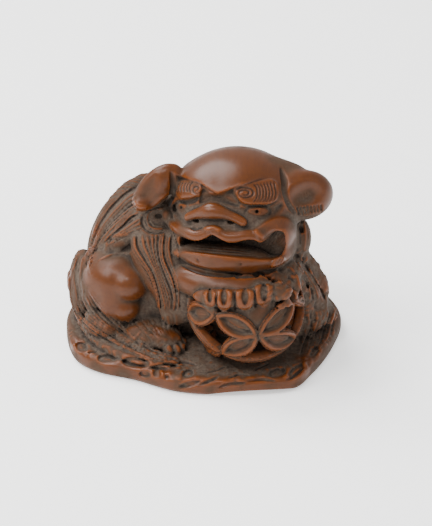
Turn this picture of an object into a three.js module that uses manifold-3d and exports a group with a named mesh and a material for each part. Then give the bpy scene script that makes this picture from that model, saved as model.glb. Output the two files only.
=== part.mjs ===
// A carved boxwood netsuke: a lion dog crouches on a small rug, its head turned, one paw on a pierced ball.
// Millimetres, +Z up. The origin is on the table under the middle of the rug, and -Y is the front.
// The whole carving is one piece of wood, so every form below is joined into one solid.
import * as THREE from "three";
import { mergeVertices } from "three/addons/utils/BufferGeometryUtils.js";
import Module from "manifold-3d";

const wasm = await Module();
wasm.setup();

// Driving sizes
const figureHeight = 31; // from the table to the crown of the head
const rugLength = 40.6;
const rugDepth = 35.4;
const rugThickness = 2.7;
const rugEdgeRound = 1.0;
const rugCrown = 1.3; // how far the middle of the rug's top stands above its rim
const spotDepth = 0.55; // depth of the spots carved along the rug's rim
const ballDiameter = 17;
const ballWall = 1.3;
const ballSeat = 1.1; // how deep the ball is sunk in the rug
const petalRecess = 0.55; // depth of the hollow in each petal
const petalRim = 0.55; // width of the raised edge round each petal's hollow
const mouthDepth = 5.5;
const knotHoleDiameter = 6.6; // the wider cord hole, which hides the knot
const cordHoleDiameter = 4.4;
const cordHoleSpacing = 12.5; // between the centres of the two holes
const cordHoleDepth = 6.5; // up to the middle of the tunnel that joins them

// The lion dog keeps its proportions: its forms are measured on the carving at its real height, 31 mm.
const carvedHeight = 31;
const unit = figureHeight / carvedHeight;

const degrees = THREE.MathUtils.degToRad;
const point = (x, y, z) => new THREE.Vector3(x, y, z).multiplyScalar(unit);
const points = (places) => places.map((place) => point(...place));

// A closed three.js geometry as a manifold-3d solid.
function solid(geometry, matrix = new THREE.Matrix4()) {
  const bare = geometry.clone().applyMatrix4(matrix);
  bare.deleteAttribute("normal");
  bare.deleteAttribute("uv");
  const merged = mergeVertices(bare, 1e-4);
  return new wasm.Manifold(
    new wasm.Mesh({
      numProp: 3,
      vertProperties: new Float32Array(merged.attributes.position.array),
      triVerts: new Uint32Array(merged.index.array),
    }),
  );
}

const join = (solids) => solids.reduce((sum, next) => sum.add(next));
const cut = (body, solids) => solids.reduce((rest, next) => rest.subtract(next), body);

// A rounded form: an ellipsoid with its centre, half sizes and turn in degrees about X, Y and Z.
function lump(centre, radii, { turn = [0, 0, 0], fine = 1, frame = new THREE.Matrix4() } = {}) {
  const matrix = new THREE.Matrix4().compose(
    point(...centre),
    new THREE.Quaternion().setFromEuler(new THREE.Euler(...turn.map(degrees))),
    point(...radii),
  );
  return solid(new THREE.IcosahedronGeometry(1, fine), matrix.premultiply(frame));
}

// A small rounded form with few facets.
function bead(centre, radii, frame = new THREE.Matrix4()) {
  const matrix = frame.clone().multiply(new THREE.Matrix4().makeTranslation(point(...centre)));
  return solid(new THREE.SphereGeometry(1, 6, 4), matrix.scale(point(...radii)));
}

// The share of its full width that a lock has along its length: full in the middle, closed at the ends.
const endRound = (along) => Math.pow(Math.max(0, 4 * along * (1 - along)), 0.35);

// A lock of hair or a lip: a round form bent along a curve, which may thin towards its tip.
function lock(path, radius, { sides = 4, steps = 5, taper = 0, frame = new THREE.Matrix4() } = {}) {
  const curve = new THREE.CatmullRomCurve3(path.map((p) => p.clone().applyMatrix4(frame)));
  const frames = curve.computeFrenetFrames(steps, false);
  const geometry = new THREE.SphereGeometry(1, sides, steps);
  const place = geometry.attributes.position;
  const spot = new THREE.Vector3();
  for (let i = 0; i < place.count; i++) {
    spot.fromBufferAttribute(place, i);
    const along = Math.acos(THREE.MathUtils.clamp(spot.y, -1, 1)) / Math.PI;
    const ring = Math.round(along * steps);
    const width = radius * unit * (1 - taper * along) * endRound(along);
    const level = Math.hypot(spot.x, spot.z) || 1;
    const centre = curve.getPointAt(along);
    centre.addScaledVector(frames.normals[ring], (width * spot.x) / level);
    centre.addScaledVector(frames.binormals[ring], (width * spot.z) / level);
    place.setXYZ(i, centre.x, centre.y, centre.z);
  }
  return solid(geometry);
}

// Locks that lie side by side between two guide locks, drawn by their points.
function band(firstGuide, lastGuide, count, radius, options = {}) {
  const locks = [];
  for (let i = 0; i < count; i++) {
    const share = i / (count - 1);
    const path = firstGuide.map((p, k) => p.clone().lerp(lastGuide[k], share));
    locks.push(lock(path, radius, options));
  }
  return locks;
}

// A curl: a lock wound into a spiral about an axis.
function curl(centre, axis, radius, turns, start) {
  const count = 12;
  const face = new THREE.Quaternion().setFromUnitVectors(
    new THREE.Vector3(0, 0, 1),
    new THREE.Vector3(...axis).normalize(),
  );
  const path = [];
  for (let i = 0; i <= count; i++) {
    const share = i / count;
    const angle = start + share * turns * 2 * Math.PI;
    const reach = radius * (1 - 0.8 * share);
    const offset = new THREE.Vector3(reach * Math.cos(angle), reach * Math.sin(angle), radius * 0.3 * share);
    path.push(offset.applyQuaternion(face).multiplyScalar(unit).add(point(...centre)));
  }
  return lock(path, radius * 0.3, { sides: 3, steps: 9 });
}

// The body

const trunkCentre = [-2.5, 5, 10.35];
const trunkRadii = [15.3, 12, 13.9];

// A point on the trunk's skin: azimuth 0 is the front and 90 the right, in degrees.
function onTrunk(azimuth, elevation) {
  const a = degrees(azimuth);
  const e = degrees(elevation);
  return point(
    trunkCentre[0] + trunkRadii[0] * Math.sin(a) * Math.cos(e),
    trunkCentre[1] - trunkRadii[1] * Math.cos(a) * Math.cos(e),
    trunkCentre[2] + trunkRadii[2] * Math.sin(e),
  );
}

function trunk() {
  return [
    lump(trunkCentre, trunkRadii, { fine: 2 }),
    lump([11.5, 1, 6], [7.3, 8, 8], { fine: 2 }), // the shoulder on the right
    lump([15.2, -2.6, 6.2], [3.2, 3.4, 3.2]), // and its elbow
    lump([1.6, 2.8, 20.2], [8.8, 6.8, 6.4]), // the neck
  ];
}

function haunch() {
  return [
    lump([-11.6, -3.6, 11.4], [5, 4.2, 4], { fine: 2 }),
    lump([-14.6, -2.2, 11], [3.1, 3.8, 4.8], { turn: [0, 15, 0] }),
    lump([-10.9, -5.2, 8.8], [3, 2.9, 3.3]), // the knee
  ];
}

function tail() {
  const locks = [0, 1].map((i) => {
    const path = [
      [-17.6 - i * 0.7, 0.9 + i * 2.4, 13], [-18.7 - i * 0.5, 1.2 + i * 2.4, 9],
      [-18.6, 0.2 + i * 2.2, 5], [-18.2, -1 + i * 2, 2],
    ];
    return lock(points(path), 1.2);
  });
  return [
    lump([-17.6, 3, 9.6], [2.4, 4.2, 4.4]),
    bead([-18.9, 2.4, 8.7], [1.7, 2.2, 2]),
    ...locks,
  ];
}

function flankMane() {
  const outer = points([
    [-7.9, 5.9, 23.5], [-10.8, 4.6, 22.1], [-13.4, 3.3, 20],
    [-15.6, 2.2, 17], [-16.9, 1.2, 13.2],
  ]);
  const inner = points([
    [-8.3, -2.2, 20.2], [-10, -2.6, 18.9], [-11.4, -2.6, 17.6],
    [-12.9, -2.2, 16.2], [-14.1, -2, 14.8],
  ]);
  return band(outer, inner, 4, 1.25, { taper: 0.35 });
}

function frontMane() {
  const outer = points([
    [-9.6, -3, 19.2], [-9.3, -4.6, 16.7], [-7.8, -6.2, 13.9],
    [-6.3, -7.4, 11.1], [-5.6, -8, 7.2],
  ]);
  const inner = points([
    [-4.9, -5, 19], [-4.7, -6.4, 16.6], [-4, -7.4, 14.4],
    [-2.6, -8.2, 11.8], [-2.4, -8.6, 8.4],
  ]);
  return [
    ...band(outer, inner, 4, 0.85, { taper: 0.25 }),
    lump([-5.8, -4.4, 13.2], [3.4, 2.6, 5.4], { turn: [10, 14, 0] }),
    curl([-7.9, -3.9, 20.9], [-0.25, -0.9, 0.3], 2.2, 1.4, 2),
    bead([-7.4, -2.2, 20.9], [2.8, 2.3, 2.7]),
  ];
}

function backMane() {
  const locks = [];
  const count = 7;
  for (let i = 0; i < count; i++) {
    const azimuth = 108 + (i * 150) / (count - 1);
    const sway = i % 2 ? 6 : -4;
    const path = [66, 48, 28, 8, -14].map((elevation, k) =>
      onTrunk(azimuth + sway * Math.sin(k * 1.5), elevation + (i % 2 ? 4 : 0)),
    );
    locks.push(lock(path, 1.7, { taper: 0.4 }));
  }
  return locks;
}

function shoulderMane() {
  const outer = points([[14.2, -3.6, 16.2], [16.2, -2.4, 13.4], [17.6, -2, 10.8], [18.3, -2, 8.6]]);
  const inner = points([[11.8, -6.6, 14.8], [12.8, -6.2, 12.4], [14, -6, 9.8], [15, -5.8, 7.4]]);
  return [
    ...band(outer, inner, 3, 1.1),
    lump([13.8, -2.7, 17.8], [2.2, 2.6, 3.4]),
    curl([14.6, -4.4, 17.6], [0.5, -0.85, 0.1], 1.9, 1.2, 1),
    curl([11.2, -11.4, 15.6], [0.5, -0.8, 0.4], 1.8, 1.2, 3),
    bead([11, -8.6, 14.8], [3.1, 2.9, 2.9]),
  ];
}

// The feet

// A foot on the rug: a sole and a row of toes across its end.
function foot(centre, heading, size, toeCount) {
  const frame = new THREE.Matrix4().makeRotationZ(degrees(heading)).setPosition(point(...centre));
  const forms = [bead([0, 0, 0], [2.5 * size, 3 * size, 1.9 * size], frame)];
  for (let i = 0; i < toeCount; i++) {
    const side = i - (toeCount - 1) / 2;
    const place = [side * 1.35 * size, (-2.6 + 0.35 * side * side) * size, -0.35 * size];
    forms.push(bead(place, [0.85 * size, 1.35 * size, 1.15 * size], frame));
  }
  return forms;
}

function feet() {
  return [
    ...foot([-5.4, -8.6, 4.6], 48, 1.05, 4),
    bead([-8, -6.4, 5.6], [3.1, 2.5, 2.5]),
    ...foot([17, -2.2, 5.6], 78, 0.95, 3),
    ...foot([12.4, 12.8, 3.8], 150, 1, 0),
  ];
}

// The ball: petals lie along the edges of a cuboctahedron, and its square and three-sided faces are open

const ballRadius = ballDiameter / 2;
const ballCentre = new THREE.Vector3(6 * unit, -9.2 * unit, rugThickness + ballRadius - ballSeat);
const ballTurn = new THREE.Matrix4().makeRotationZ(degrees(56));
const ballPlace = new THREE.Matrix4().setPosition(ballCentre);

// Only the sides that stand free of the chest, the paw and the rug are carved.
const standsFree = (way) => way.y < 0.15 && Math.abs(way.z) < 0.75;

const turned = (x, y, z) => new THREE.Vector3(x, y, z).normalize().applyMatrix4(ballTurn);
const signs = [-1, 1];
const axes = [turned(1, 0, 0), turned(0, 1, 0), turned(0, 0, 1)];
const corners = axes.flatMap((a, i) =>
  axes.slice(i + 1).flatMap((b) =>
    signs.flatMap((p) => signs.map((q) => a.clone().multiplyScalar(p).addScaledVector(b, q).normalize())),
  ),
);

// A flat outline pushed out of the ball along one direction, with its Y axis along another.
function punch(shape, out, along, curveSegments) {
  const side = new THREE.Vector3().crossVectors(along, out).normalize();
  const up = new THREE.Vector3().crossVectors(out, side);
  const straight = { depth: ballDiameter, bevelEnabled: false, curveSegments };
  const geometry = new THREE.ExtrudeGeometry(shape, straight);
  return solid(geometry, ballPlace.clone().multiply(new THREE.Matrix4().makeBasis(side, up, out)));
}

// A pointed oval between two arcs.
function petalShape(length, width) {
  const shape = new THREE.Shape();
  shape.moveTo(0, -length / 2);
  shape.quadraticCurveTo(width, 0, 0, length / 2);
  shape.quadraticCurveTo(-width, 0, 0, -length / 2);
  return shape;
}

// The opening in a face: a star whose sides bend inwards round the petals.
function openingShape(sides, reach, bend) {
  const shape = new THREE.Shape();
  const corner = (share, length) => {
    const angle = (share * 2 * Math.PI) / sides;
    return [length * Math.sin(angle), length * Math.cos(angle)];
  };
  shape.moveTo(...corner(0, reach));
  for (let i = 1; i <= sides; i++) {
    shape.quadraticCurveTo(...corner(i - 0.5, bend), ...corner(i, reach));
  }
  return shape;
}

function ball() {
  const petal = petalShape(ballRadius - 2.6 * petalRim, 0.44 * ballRadius - 1.2 * petalRim);
  const petalCuts = [];
  corners.forEach((a, i) => {
    for (const b of corners.slice(i + 1)) {
      const middle = a.clone().add(b).normalize();
      const isEdge = Math.abs(a.dot(b) - 0.5) < 0.01;
      if (isEdge && standsFree(middle)) petalCuts.push(punch(petal, middle, b.clone().sub(a), 3));
    }
  });
  const openings = [];
  for (const p of signs)
    for (const [i, axis] of axes.entries()) {
      const out = axis.clone().multiplyScalar(p);
      const shape = openingShape(4, 0.5 * ballRadius, 0.16 * ballRadius);
      if (standsFree(out)) openings.push(punch(shape, out, axes[(i + 1) % 3], 2));
    }
  for (const p of signs)
    for (const q of signs)
      for (const r of signs) {
        const out = turned(p, q, r);
        const shape = openingShape(3, 0.34 * ballRadius, 0.04 * ballRadius);
        if (standsFree(out)) openings.push(punch(shape, out, axes[2].clone().multiplyScalar(-r), 2));
      }
  const petalFloor = solid(new THREE.IcosahedronGeometry(ballRadius - petalRecess, 1), ballPlace);
  const shell = solid(new THREE.IcosahedronGeometry(ballRadius, 2), ballPlace);
  return cut(shell, [cut(join(petalCuts), [petalFloor]), ballHollow(), ...openings]);
}

const ballHollow = () => solid(new THREE.IcosahedronGeometry(ballRadius - ballWall, 1), ballPlace);

// The paw on the ball: the forearm comes round from the left, and the toes bend over the ball's front

function paw() {
  const forearm = points([[-4.6, -6.4, 13.8], [-1, -9.8, 14.5], [3.4, -12, 15.3], [8.6, -12.2, 15.4]]);
  const forms = [lock(forearm, 2.7, { sides: 7, steps: 5 })];
  const toeWays = [[-0.74, -0.52, 0.45], [-0.42, -0.74, 0.54], [-0.06, -0.82, 0.57], [0.28, -0.72, 0.64]];
  for (const way of toeWays) {
    const out = new THREE.Vector3(...way).normalize();
    const across = new THREE.Vector3().crossVectors(new THREE.Vector3(0, 0, 1), out).normalize();
    const up = new THREE.Vector3().crossVectors(out, across);
    const frame = new THREE.Matrix4().makeBasis(across, up, out);
    frame.setPosition(ballCentre.clone().addScaledVector(out, ballRadius));
    const nailBed = bead([0, -0.5, 1.6], [0.9, 1.2, 0.9], frame);
    forms.push(cut(bead([0, 0, 0.2], [1.6, 2.1, 1.3], frame), [nailBed]));
  }
  return forms;
}

// The head, in a frame of its own: it is turned to the left, tipped back and leans a little

const headFrame = new THREE.Matrix4()
  .makeRotationFromEuler(new THREE.Euler(degrees(-12), degrees(-8), degrees(-20), "ZXY"))
  .setPosition(point(4.7, -2, 23.5));
const inHead = { frame: headFrame };
const skullRadii = [9.4, 8.5, 7.8];
const muzzleCentre = [0, -2.2, -3.6];
const muzzleRadii = [9, 7.4, 5.6];

// A point on the muzzle's front, by its place across and up the face.
function onMuzzle(x, z, lift) {
  const across = x / muzzleRadii[0];
  const high = (z - muzzleCentre[2]) / muzzleRadii[2];
  const depth = Math.sqrt(Math.max(0.02, 1 - across * across - high * high));
  return point(x, muzzleCentre[1] - muzzleRadii[1] * depth - lift, z);
}

// A flat outline on the face, given across and up the face, pushed through the head from front to back.
function throughFace(shape, back, front) {
  const straight = { depth: front - back, bevelEnabled: false, curveSegments: 2 };
  const geometry = new THREE.ExtrudeGeometry(shape, straight);
  geometry.translate(0, 0, back);
  geometry.rotateX(Math.PI / 2);
  return solid(geometry, headFrame);
}

const outline = (places) => places.map(([x, z]) => new THREE.Vector2(x * unit, z * unit));

// The crown stands out over the face like a cap, with a point between the brows.
function crown() {
  const edge = [[-14, 3.4], [-7, 4.2], [-2.8, 4.1], [0, 2.4], [2.6, 4.4], [8, 4.6], [14, 3]];
  const shape = new THREE.Shape(outline([...edge, [14, 14], [-14, 14]]));
  const dome = lump([0, -0.5, -0.95], skullRadii.map((r) => r + 0.55), { fine: 2, ...inHead });
  return dome.intersect(throughFace(shape, -20 * unit, 20 * unit));
}

// The edge of the upper lip, from one corner of the mouth to the other, across and up the face.
const lipEdge = [[-8.2, -4], [-5.2, -4.3], [-2.6, -4.2], [-0.2, -2.8], [2.4, -4.3], [5.4, -3.9], [8.2, -3.3]];

function mouthSpace() {
  const shape = new THREE.Shape();
  shape.moveTo(-8.2 * unit, -4.9 * unit);
  shape.splineThru(outline(lipEdge));
  shape.quadraticCurveTo(8.8 * unit, -5.6 * unit, 6.4 * unit, -6 * unit);
  shape.quadraticCurveTo(0, -6.6 * unit, -6.4 * unit, -6 * unit);
  shape.closePath();
  const front = -(muzzleCentre[1] - muzzleRadii[1]) * unit;
  return throughFace(shape, front - mouthDepth, front + 3 * unit);
}

function ears() {
  const left = cut(lump([-6.9, -2.6, 25.8], [2.7, 1.9, 4.3], { turn: [0, 40, 10] }), [
    lump([-7.5, -5, 25.6], [1.3, 1.5, 2.4], { turn: [0, 40, 10] }),
  ]);
  const right = cut(lump([14.4, -4.2, 25.5], [4.2, 2.4, 3.9], { turn: [0, 10, 20] }), [
    lump([13.6, -7.2, 25], [2.7, 2.6, 2], { turn: [0, 10, 20] }),
  ]);
  return [left, right, bead([11.4, -2.4, 26.2], [4.1, 3.1, 3.1])];
}

function face() {
  const forms = [];
  for (const side of signs) {
    const turn = [12, 0, side * 26];
    forms.push(lump([side * 4.9, -6.2, 2.8], [2.9, 1.2, 1.6], { turn, ...inHead })); // the brows
  }
  const nose = [[-4.2, -8.4, -1.2], [-2.2, -9.4, -0.4], [0, -9.4, 0.7], [2, -9.4, -0.4], [3.9, -8.6, -1.2]];
  forms.push(lock(points(nose), 1.4, { sides: 6, steps: 7, ...inHead }));
  const upperLip = lipEdge.map(([x, z]) => onMuzzle(x, z + 0.75, 0.05));
  const lowerLip = [-7.6, -4.4, 0, 4.4, 7.6].map((x) => onMuzzle(x, -7.2 + x * x * 0.014, 0));
  const corner = [[7.8, -2.8], [8.8, -3.8], [8.8, -5.4], [7.3, -6.6]].map(([x, z]) => onMuzzle(x, z, 0.2));
  forms.push(lock(upperLip, 1.1, { sides: 4, steps: 14, ...inHead }));
  forms.push(lock(lowerLip, 1.4, { sides: 5, steps: 7, ...inHead }));
  forms.push(lock(corner, 1.5, { sides: 5, ...inHead }));
  return forms;
}

function head() {
  const skull = lump([0, 0, 0], skullRadii, { fine: 2, ...inHead });
  const muzzle = lump(muzzleCentre, muzzleRadii, { fine: 2, ...inHead });
  const coarse = { fine: 0, ...inHead };
  const nostrils = signs.map((side) => lump([side * 2.6, -9.8, -0.9], [0.7, 0.9, 0.5], coarse));
  const sockets = signs.map((side) => {
    const turn = [0, 0, side * 26];
    return lump([side * 5.6, -8.2, 0.6], [2.3, 1.6, 1.3], { turn, ...coarse });
  });
  const eyes = signs.map((side) => bead([side * 5.6, -6, 0.5], [1.5, 1.1, 0.8], headFrame));
  const whole = cut(join([skull, muzzle, ...face()]), [mouthSpace(), ...nostrils, ...sockets]);
  return join([whole, ...eyes, crown(), ...ears()]);
}

// The rug

// The rug's outline, as shares of its half length and half depth: fuller on the right, cut in on the left.
const rugOutline = [
  [-1, -0.03], [-0.93, -0.42], [-0.76, -0.63], [-0.5, -0.76], [-0.2, -0.95], [0.12, -1],
  [0.6, -0.93], [0.78, -0.66], [0.93, -0.24], [1, 0.2], [0.86, 0.62], [0.52, 0.92], [0.05, 1],
  [-0.45, 0.93], [-0.83, 0.66], [-0.98, 0.32],
];

// A closed curve round the rug, a step in from its edge.
function rugCurve(inset) {
  const path = rugOutline.map(
    ([x, y]) => new THREE.Vector3(x * (rugLength / 2 - inset), y * (rugDepth / 2 - inset), 0),
  );
  return new THREE.CatmullRomCurve3(path, true);
}

function rugShape(inset) {
  return new THREE.Shape(rugCurve(inset).getPoints(30).slice(0, -1).map((p) => new THREE.Vector2(p.x, p.y)));
}

function rug() {
  const plate = new THREE.ExtrudeGeometry(rugShape(rugEdgeRound), {
    depth: rugThickness - 2 * rugEdgeRound,
    bevelThickness: rugEdgeRound,
    bevelSize: rugEdgeRound,
    bevelSegments: 2,
  });
  plate.translate(0, 0, rugEdgeRound);
  return solid(plate);
}

// The rug's top swells towards its middle.
function rugRise() {
  const rise = new THREE.IcosahedronGeometry(1, 2);
  rise.scale(rugLength * 0.46, rugDepth * 0.46, rugCrown + rugThickness / 2);
  rise.translate(0, 0, rugThickness / 2);
  return solid(rise);
}

function rugHair() {
  const inner = points([
    [-17.6, 1.8, 6.4], [-14.9, -2.7, 4.6], [-12, -7.6, 3.9],
    [-8.5, -10.8, 3.4], [-3.6, -12.6, 3],
  ]);
  const outer = points([
    [-18.8, 0.4, 4.6], [-17, -4, 3.4], [-13.8, -8.8, 2.9],
    [-9.2, -12.4, 2.7], [-3, -14.4, 2.5],
  ]);
  return band(inner, outer, 3, 0.8);
}

// The spots along the front of the rug's top, long and short by turns.
function rugSpots() {
  const spots = [];
  const count = 10;
  const edge = rugCurve(2.1);
  for (let i = 0; i < count; i++) {
    const share = 0.05 + (0.46 * i) / count;
    const place = edge.getPointAt(share);
    const way = edge.getTangentAt(share);
    const matrix = new THREE.Matrix4().makeRotationZ(Math.atan2(way.y, way.x) + 0.2);
    matrix.scale(new THREE.Vector3(i % 3 === 1 ? 1.9 : 1.2, 0.75, 1));
    matrix.setPosition(place.x, place.y, rugThickness);
    const spot = new THREE.CylinderGeometry(1, 0.8, 2 * spotDepth, 6);
    spots.push(solid(spot.rotateX(Math.PI / 2), matrix));
  }
  return spots;
}

// The cord holes under the rug: two holes joined by a bent tunnel, the wider one for the knot.
function cordTunnel() {
  const reach = cordHoleSpacing / 2;
  const acrossRug = 2;
  const shoulder = cordHoleDepth * 0.6;
  const bend = [[-1, -1], [-0.85, shoulder], [0, cordHoleDepth], [0.85, shoulder], [1, -1]];
  const path = new THREE.CatmullRomCurve3(
    bend.map(([share, z]) => new THREE.Vector3(share * reach, acrossRug, z)),
  );
  const round = new THREE.Shape().absarc(0, 0, cordHoleDiameter / 2, 0, 2 * Math.PI);
  const along = { extrudePath: path, steps: 9, curveSegments: 5, bevelEnabled: false };
  const tunnel = new THREE.ExtrudeGeometry(round, along);
  const wide = new THREE.CylinderGeometry(knotHoleDiameter / 2, knotHoleDiameter / 2, cordHoleDepth + 1, 16);
  wide.rotateX(Math.PI / 2);
  wide.translate(-reach, acrossRug, (cordHoleDepth - 1) / 2);
  return [solid(tunnel), solid(wide)];
}

// Everything joined into one solid, kept within the rug's outline and cut level below.
function carving() {
  const dog = join([
    ...trunk(), ...haunch(), ...tail(), ...flankMane(), ...frontMane(), ...backMane(), ...shoulderMane(),
    ...feet(), ...rugHair(), rugRise(),
  ]);
  const column = new THREE.ExtrudeGeometry(rugShape(0.15), { depth: figureHeight * 2, bevelEnabled: false });
  column.translate(0, 0, rugThickness / 2);
  const onRug = dog.intersect(solid(column));
  const whole = join([cut(rug(), rugSpots()), onRug, head()]);
  return cut(join([cut(whole, [ballHollow()]), ball(), ...paw()]), cordTunnel());
}

// The outer skin of a solid: small hollows shut in between the locks are left solid.
function outerSkin(geometry) {
  const { array } = geometry.index;
  const group = Array.from({ length: geometry.attributes.position.count }, (_, i) => i);
  const root = (i) => {
    while (group[i] !== i) i = group[i];
    return i;
  };
  for (let i = 0; i < array.length; i += 3) {
    group[root(array[i + 1])] = root(array[i]);
    group[root(array[i + 2])] = root(array[i]);
  }
  const sizes = new Map();
  array.forEach((i) => sizes.set(root(i), (sizes.get(root(i)) ?? 0) + 1));
  const [largest] = [...sizes].reduce((best, next) => (next[1] > best[1] ? next : best));
  geometry.setIndex([...array].filter((i) => root(i) === largest));
  return mergeVertices(geometry);
}

// The geometry of a manifold-3d solid.
function geometryOf(made) {
  const mesh = made.getMesh();
  const geometry = new THREE.BufferGeometry();
  geometry.setAttribute("position", new THREE.BufferAttribute(new Float32Array(mesh.vertProperties), 3));
  geometry.setIndex(new THREE.BufferAttribute(new Uint32Array(mesh.triVerts), 1));
  const skin = outerSkin(geometry);
  skin.computeVertexNormals();
  return skin;
}

const boxwood = new THREE.MeshStandardMaterial({ color: "#8a4a2a", roughness: 0.38, metalness: 0 });
const netsuke = new THREE.Mesh(geometryOf(carving()), boxwood);
netsuke.name = "netsuke";

const group = new THREE.Group();
group.add(netsuke);
export default group;
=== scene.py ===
# A carved boxwood netsuke: a lion dog on a small rug, its paw on a pierced ball

# The carving is worked in a block of wood held as distances on a grid, in millimetres, in the solid's
# own frame: forms are added, hollows and lines are cut, and the skin of the block becomes the mesh.
# Lines and outlines in pixels were drawn on the photograph, and are laid on the wood along its view.

import math

import bmesh
import bpy
import numpy as np
import openvdb
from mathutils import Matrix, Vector


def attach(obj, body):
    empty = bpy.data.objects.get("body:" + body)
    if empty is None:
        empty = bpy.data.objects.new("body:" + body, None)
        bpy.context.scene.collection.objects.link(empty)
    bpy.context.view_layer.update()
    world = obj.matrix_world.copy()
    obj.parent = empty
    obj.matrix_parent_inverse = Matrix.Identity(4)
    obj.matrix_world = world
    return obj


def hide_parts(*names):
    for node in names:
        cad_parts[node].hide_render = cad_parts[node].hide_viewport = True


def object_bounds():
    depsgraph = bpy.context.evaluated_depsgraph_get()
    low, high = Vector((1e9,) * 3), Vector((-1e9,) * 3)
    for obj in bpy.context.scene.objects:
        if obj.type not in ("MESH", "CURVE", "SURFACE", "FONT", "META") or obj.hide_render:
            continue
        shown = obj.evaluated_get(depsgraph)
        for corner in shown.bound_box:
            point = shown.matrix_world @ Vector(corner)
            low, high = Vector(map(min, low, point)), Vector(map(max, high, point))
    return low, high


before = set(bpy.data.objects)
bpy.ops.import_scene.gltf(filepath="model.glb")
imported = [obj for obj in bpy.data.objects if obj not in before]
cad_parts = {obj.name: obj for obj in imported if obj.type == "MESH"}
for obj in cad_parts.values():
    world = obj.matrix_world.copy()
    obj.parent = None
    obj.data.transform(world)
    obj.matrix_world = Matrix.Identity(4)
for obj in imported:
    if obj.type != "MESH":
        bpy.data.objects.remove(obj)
solid_low, solid_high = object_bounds()

MM = 0.001  # one millimetre in scene units

# Sizes in millimetres, as in the solid
RUG_LENGTH = 40.6
RUG_DEPTH = 35.4
RUG_THICKNESS = 2.7
RUG_EDGE_ROUND = 1.0
RUG_CROWN = 1.3
BALL_DIAMETER = 17
BALL_WALL = 1.3
BALL_SEAT = 1.1
PETAL_WIDTH = 3.5
PETAL_RECESS = 0.75
PETAL_RIM = 0.5
EDGE_PETAL = 0.38  # how wide the petals at the sides of the ball are beside the others
MOUTH_DEPTH = 5.5
KNOT_HOLE_DIAMETER = 6.6
CORD_HOLE_DIAMETER = 4.4
CORD_HOLE_SPACING = 12.5
CORD_HOLE_DEPTH = 6.5

# The photograph's view: the carving is seen from the front, from above
PICTURE_WIDTH, PICTURE_HEIGHT = 432, 526
MM_PER_PIXEL = 0.146  # at the middle of the object
CAMERA_ELEVATION = math.radians(27)
CAMERA_DISTANCE = 400
SEEN_POINT = np.array([1.75, 0, 12.4])
LOOKING = np.array([0, math.cos(CAMERA_ELEVATION), -math.sin(CAMERA_ELEVATION)])
ACROSS = np.array([1.0, 0, 0])
UPWARD = np.cross(ACROSS, LOOKING)
EYE = SEEN_POINT - CAMERA_DISTANCE * LOOKING
WOOD_REACH = 32.0  # all the wood lies within this of the seen point, before and behind it

GRID_STEP = 0.14
MOST_TRIANGLES = 197000
UNSEEN_THINNED = 0.7  # the share of the faces that is given up where the photograph doesn't show them
LINE_STEP = 1.6  # pixels between the points of a line laid on the wood
OUTLINE_STEP = 2.0  # pixels between the points of an outline or a guide line
LOCK_STEP = 0.5  # mm between the points of a lock of hair
RUG_STEP = 0.6  # mm between the points of the rug outline
BAND_DEPTH = 2.5  # how far a combed band may reach behind its places that show, in mm

rng = np.random.default_rng(7)


# The block of wood

def turned(about_x=0, about_y=0, about_z=0):
    """A turn about Z, then Y, then X, in degrees, as a 3 by 3 matrix."""
    x, y, z = (math.radians(a) for a in (about_x, about_y, about_z))
    rx = np.array([[1, 0, 0], [0, math.cos(x), -math.sin(x)], [0, math.sin(x), math.cos(x)]])
    ry = np.array([[math.cos(y), 0, math.sin(y)], [0, 1, 0], [-math.sin(y), 0, math.cos(y)]])
    rz = np.array([[math.cos(z), -math.sin(z), 0], [math.sin(z), math.cos(z), 0], [0, 0, 1]])
    return rx @ ry @ rz


def dot(x, y, z, way):
    """How far places lie along a direction."""
    return x * way[0] + y * way[1] + z * way[2]


class Place:
    """A frame in the block: its origin and its turn."""

    def __init__(self, origin=(0, 0, 0), turn=np.eye(3)):
        self.origin = np.array(origin, float)
        self.turn = np.array(turn, float)

    def out(self, points):
        """Points of this frame in the block's frame."""
        return np.asarray(points, float) @ self.turn.T + self.origin

    def into(self, x, y, z):
        """The block's places, given along X, Y and Z, in this frame."""
        x, y, z = (grid - start for grid, start in zip((x, y, z), self.origin))
        return [dot(x, y, z, self.turn[:, k]) for k in range(3)]


WORLD = Place()


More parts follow.
